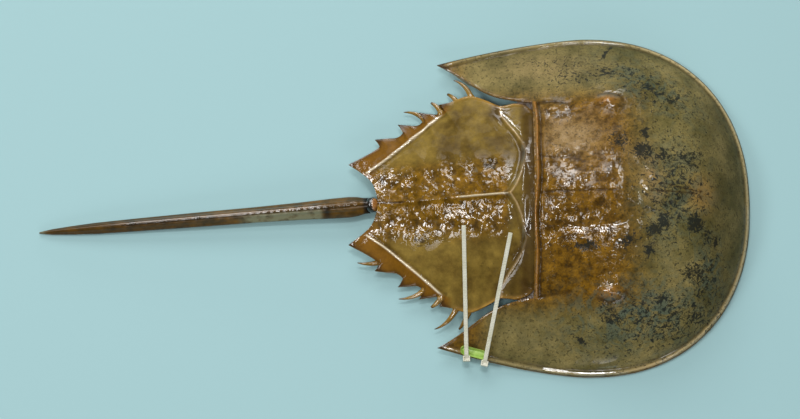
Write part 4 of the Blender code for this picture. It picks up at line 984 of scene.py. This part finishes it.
patchy = node(tree, "MapRange", {"Value": mottle.outputs["Fac"], "From Min": 0.3, "From Max": 0.5})
grey = node(tree, "Math", {0: patchy.outputs["Result"], 1: mask["grey"]}, operation="MULTIPLY")
colour = node(tree, "Mix", {0: grey.outputs[0], 6: brown.outputs["Color"], 7: paint("77755a")},
              data_type="RGBA")
colour = node(tree, "Mix", {0: mask["dark"], 6: colour.outputs[2], 7: paint("21180d")},
              data_type="RGBA")
film = node(tree, "Bump", {"Height": mottle.outputs["Fac"], "Strength": 0.5,
                           "Distance": 0.5 * MM})
feed(tree, shader, {"Base Color": colour.outputs[2], "Normal": film.outputs["Normal"],
                    "Coat Normal": film.outputs["Normal"], "Coat Weight": mask["wet"],
                    "Coat Roughness": 0.04, "Coat IOR": 1.8, "Roughness": 0.5,
                    "Specular IOR Level": 0.06})
dress(tail, material, "tail", "tail_chitin", "tail_spine")

# Tag
# A small injection-moulded plastic marker with round ends, lime green so that it is found again.
# Its face is left bare.

TAG_X, TAG_LENGTH, TAG_WIDTH, TAG_THICK = -36.6, 17.0, 5.0, 1.0
TAG_INSET, TAG_LIFT, TAG_LEAN, TAG_DIP, TAG_ROUND = 2.9, 3.9, 22.0, 4.0, 2.4


def rim_frame(x, turn=0.0):
    """At the right rim: the rim's foot, and the directions inward and along it to the head."""
    along = Vector((1.0, float(rim_y(x - 0.5) - rim_y(x + 0.5)), 0.0)).normalized()
    inward = Vector((-along.y, along.x, 0.0))
    spin = Matrix.Rotation(math.radians(turn), 3, "Z")
    return Vector((x, -float(rim_y(x)), 0.0)), spin @ inward, spin @ along


def frame_at(foot, first, second):
    """A matrix that puts millimetre drawings at a foot point, with two of its axes given."""
    made = Matrix.Identity(4)
    made.col[0][:3], made.col[1][:3] = first * MM, second * MM
    made.col[2][:3] = first.cross(second) * MM
    made.translation = Vector(to_row(foot))
    return made


def settle(made, matrix):
    """Moves a drawn piece's own points to its place, so its object stays at the origin."""
    made.data.transform(matrix)
    made.matrix_world = Matrix.Identity(4)


def round_edges(made, width, segments=3, angle=40.0):
    """Rounds the edges of a drawn piece that are sharper than this many degrees."""
    bevel = made.modifiers.new("bevel", "BEVEL")
    bevel.width, bevel.segments = width, segments
    bevel.limit_method, bevel.angle_limit = "ANGLE", math.radians(angle)
    bpy.context.view_layer.objects.active = made
    bpy.ops.object.modifier_apply(modifier="bevel")


foot, inward_way, along_way = rim_frame(TAG_X)
dip, lean = math.radians(TAG_DIP), math.radians(TAG_LEAN)
along_way = along_way * math.cos(dip) - Vector((0.0, 0.0, math.sin(dip)))
lean_way = inward_way * math.cos(lean) + Vector((0.0, 0.0, math.sin(lean)))
middle_of_tag = foot + inward_way * TAG_INSET + Vector((0, 0, float(rim_lift(TAG_X)) + TAG_LIFT))
tag = begin("tag_plate", bpy.ops.mesh.primitive_cube_add, size=1.0)
tag.data.transform(Matrix.Diagonal((TAG_LENGTH, TAG_WIDTH, TAG_THICK, 1.0)))
bpy.ops.object.mode_set(mode="EDIT")
bpy.ops.mesh.select_all(action="DESELECT")
bpy.ops.object.mode_set(mode="OBJECT")
for e in tag.data.edges:
    a, b = (tag.data.vertices[i].co for i in e.vertices)
    e.select = abs(a.z - b.z) > 0.5
bpy.ops.object.mode_set(mode="EDIT")
bpy.ops.mesh.select_mode(type="EDGE")
bpy.ops.mesh.bevel(offset=TAG_ROUND, segments=10)
bpy.ops.object.mode_set(mode="OBJECT")
round_edges(tag, 0.2, 3)
settle(tag, frame_at(middle_of_tag, along_way, lean_way))
tidy_normals(tag, 40.0)
material, tree, shader, place, _ = finish("moulded_lime_polypropylene")
cloud = node(tree, "TexNoise", {"Vector": place, "Scale": per(3.846), "Detail": 3.0})
lime = node(tree, "ValToRGB", {"Fac": cloud.outputs["Fac"]},
            stops=((0.3, "8fb147"), (0.7, "b0cf70")))
waves = node(tree, "Bump", {"Height": cloud.outputs["Fac"], "Strength": 0.2,
                            "Distance": 0.3 * MM})
feed(tree, shader, {"Base Color": lime.outputs["Color"], "Normal": waves.outputs["Normal"],
                    "Roughness": 0.35, "IOR": 1.49})
dress(tag, material, "head", "tag_plastic", "tag")

# Cable ties
# Two natural nylon ties of the common 2.5 mm width. Each band goes round the rim and through a
# hole in the shell, back into its square head, and its long uncut tail stands up over the shell.

TIE_WIDTH, TIE_THICK, TIE_HEAD = 2.5, 1.0, (4.4, 3.4, 3.6)
TIE_X, TIE_TURN = (-40.6, -29.2), (16.0, 1.5)
TIE_BAND = [(-2.2, 4.6), (-2.4, 2.2), (-1.6, -0.4), (0.6, -1.15), (7.8, -1.15), (9.6, -0.4),
            (10.0, 1.6), (10.0, 4.6), (9.3, 7.0), (7.0, 7.3), (5.2, 6.4), (2.0, 5.3), (-1.6, 4.4)]
TIE_HEAD_AT, TIE_TAIL_START = (-2.1, 4.2), [(-1.6, 4.6), (0.0, 6.3), (2.6, 7.7)]
TIE_TAIL, TIE_TAIL_STEPS, TIE_RISE, TIE_STRAIGHTENING = 79.0, 5, 27.0, 2.0
TIE_TOOTH, TIE_MOUTH_WALL, TIE_MOUTH_DEPTH = 1.0, 0.7, 0.8


def strap(name, centre, matrix, steps):
    """A strap drawn from its side: a grid primitive along its centre line, thickened."""
    line = evenly(curve(centre), np.linspace(0.0, 1.0, steps + 1))
    made = begin(name, bpy.ops.mesh.primitive_grid_add, x_subdivisions=4, y_subdivisions=steps,
                 size=1.0)
    flat = places_of(made)
    row = np.rint((flat[:, 1] + 0.5) * steps).astype(int)
    places = np.stack([line[row, 0], line[row, 1], flat[:, 0] * TIE_WIDTH], 1)
    made.data.vertices.foreach_set("co", places.ravel())
    give(made, along=lengths(line)[row])
    thick = made.modifiers.new("thick", "SOLIDIFY")
    thick.thickness, thick.offset = TIE_THICK, 0.0
    bpy.ops.object.modifier_apply(modifier="thick")
    round_edges(made, 0.22, 2, 60.0)
    settle(made, matrix)
    tidy_normals(made, 40.0)
    return made


material, tree, shader, place, mask = finish("natural_nylon", "along")
teeth = node(tree, "Math", {0: mask["along"], 1: 2 * math.pi / TIE_TOOTH}, operation="MULTIPLY")
teeth = node(tree, "Math", {0: teeth.outputs[0]}, operation="SINE")
cloud = node(tree, "TexNoise", {"Vector": place, "Scale": per(6.667), "Detail": 3.0})
milk = node(tree, "ValToRGB", {"Fac": cloud.outputs["Fac"]},
            stops=((0.3, "c3c1a8"), (0.7, "d6d5c4")))
ribs = node(tree, "Bump", {"Height": teeth.outputs[0], "Strength": 0.35, "Distance": 0.2 * MM})
feed(tree, shader, {"Base Color": milk.outputs["Color"], "Normal": ribs.outputs["Normal"],
                    "Roughness": 0.38, "IOR": 1.53, "Transmission Weight": 0.12})
for name, tie_x, turn in zip(("rear_cable_tie", "front_cable_tie"), TIE_X, TIE_TURN):
    lift_here = float(rim_lift(tie_x))
    foot, inward_way, along_way = rim_frame(tie_x, turn)
    matrix = frame_at(foot, inward_way, Vector((0.0, 0.0, 1.0)))
    band = [(a, lift_here + b) for a, b in TIE_BAND]
    line = [(a, lift_here + b) for a, b in TIE_TAIL_START]
    start = line[-1]
    for k in range(1, TIE_TAIL_STEPS + 1):
        rise = math.radians(TIE_RISE + TIE_STRAIGHTENING * k / TIE_TAIL_STEPS)
        out = TIE_TAIL * k / TIE_TAIL_STEPS
        line.append((start[0] + out * math.cos(rise), start[1] + out * math.sin(rise)))
    loop = strap("loop", band, matrix, 80)
    tail_strap = strap("strap", line, matrix, 90)
    box = begin("tie_head", bpy.ops.mesh.primitive_cube_add, size=1.0)
    box.data.transform(Matrix.Diagonal((TIE_HEAD[1], TIE_HEAD[2], TIE_HEAD[0], 1.0)))
    # The mouth of the head, where the band comes through
    bpy.ops.object.mode_set(mode="EDIT")
    bpy.ops.mesh.select_mode(type="FACE")
    bpy.ops.mesh.select_all(action="DESELECT")
    bpy.ops.object.mode_set(mode="OBJECT")
    for face in box.data.polygons:
        face.select = face.normal.y > 0.5
    bpy.ops.object.mode_set(mode="EDIT")
    bpy.ops.mesh.inset(thickness=TIE_MOUTH_WALL)
    bpy.ops.mesh.extrude_region_move(
        TRANSFORM_OT_translate={"value": (0.0, -TIE_MOUTH_DEPTH, 0.0)})
    bpy.ops.object.mode_set(mode="OBJECT")
    round_edges(box, 0.3, 3, 60.0)
    box.data.transform(Matrix.Translation((TIE_HEAD_AT[0], lift_here + TIE_HEAD_AT[1], 0.0)))
    settle(box, matrix)
    tidy_normals(box, 40.0)
    tie = join(name + "_strap", [loop, tail_strap, box])
    dress(tie, material, "head", "tie_nylon", name)

# Floor, light and camera
# A plain pale blue floor, soft light from both sides of the shell, and small lamps that the wet
# places mirror as white glints. The camera is nearly overhead, a little to the shell's right.

FLOOR_SIZE, FLOOR_DROP, WORLD_LIGHT = 8.0, 0.0002, 0.1
floor = begin("floor", bpy.ops.mesh.primitive_plane_add, size=FLOOR_SIZE,
              location=(0.0, 0.0, -FLOOR_DROP))
material, tree, shader, _, _ = finish("pale_blue_table")
feed(tree, shader, {"Base Color": paint("8fb2b5"), "Roughness": 0.7})
floor.data.materials.append(material)

world = bpy.data.worlds.new("studio")
bpy.context.scene.world = world
world.use_nodes = True
feed(world.node_tree, world.node_tree.nodes["Background"],
     {"Color": (1.0, 1.0, 1.0, 1.0), "Strength": WORLD_LIGHT})

# Each lamp's watts, its size and its place in metres; all aim at the middle of the shell
LAMPS = {"key_softbox": (39.0, (2.2, 1.0), (-0.5, 2.3, 1.5)),
         "fill_softbox": (21.0, (2.2, 1.0), (0.9, -2.5, 1.3)),
         "overhead_lamp": (10.0, (0.3, 0.3), (0.12, 0.5, 2.0)),
         "right_lamp": (9.0, (0.34, 0.34), (-0.1, -0.5, 2.0)),
         "left_lamp": (4.5, (0.24, 0.24), (-0.2, 1.1, 1.8)),
         "rear_lamp": (22.0, (1.1, 0.45), (-1.7, -0.15, 1.9)),
         "side_lamp": (9.0, (0.6, 0.3), (0.1, 2.4, 0.45)),
         "tail_lamp": (4.0, (0.4, 0.2), (-0.36, 0.45, 2.0))}
for name, (power, size, stand) in LAMPS.items():
    bpy.ops.object.light_add(type="AREA", location=stand)
    lamp = bpy.context.object
    lamp.name = name
    lamp.data.energy = power
    lamp.data.shape = "RECTANGLE"
    lamp.data.size, lamp.data.size_y = size
    lamp.rotation_euler = (-Vector(stand)).to_track_quat("-Z", "Y").to_euler()

TILT, DISTANCE, VIEW_WIDTH, AIM = math.radians(11.5), 2.6, 0.488, Vector((0.0032, -0.0011, 0.0))
bpy.ops.object.camera_add(location=AIM + Vector((0.0, -math.sin(TILT), math.cos(TILT))) * DISTANCE,
                          rotation=(TILT, 0.0, 0.0))
camera = bpy.context.object
camera.data.lens = camera.data.sensor_width * DISTANCE / VIEW_WIDTH
bpy.context.scene.camera = camera
bpy.context.scene.view_settings.view_transform = "Standard"
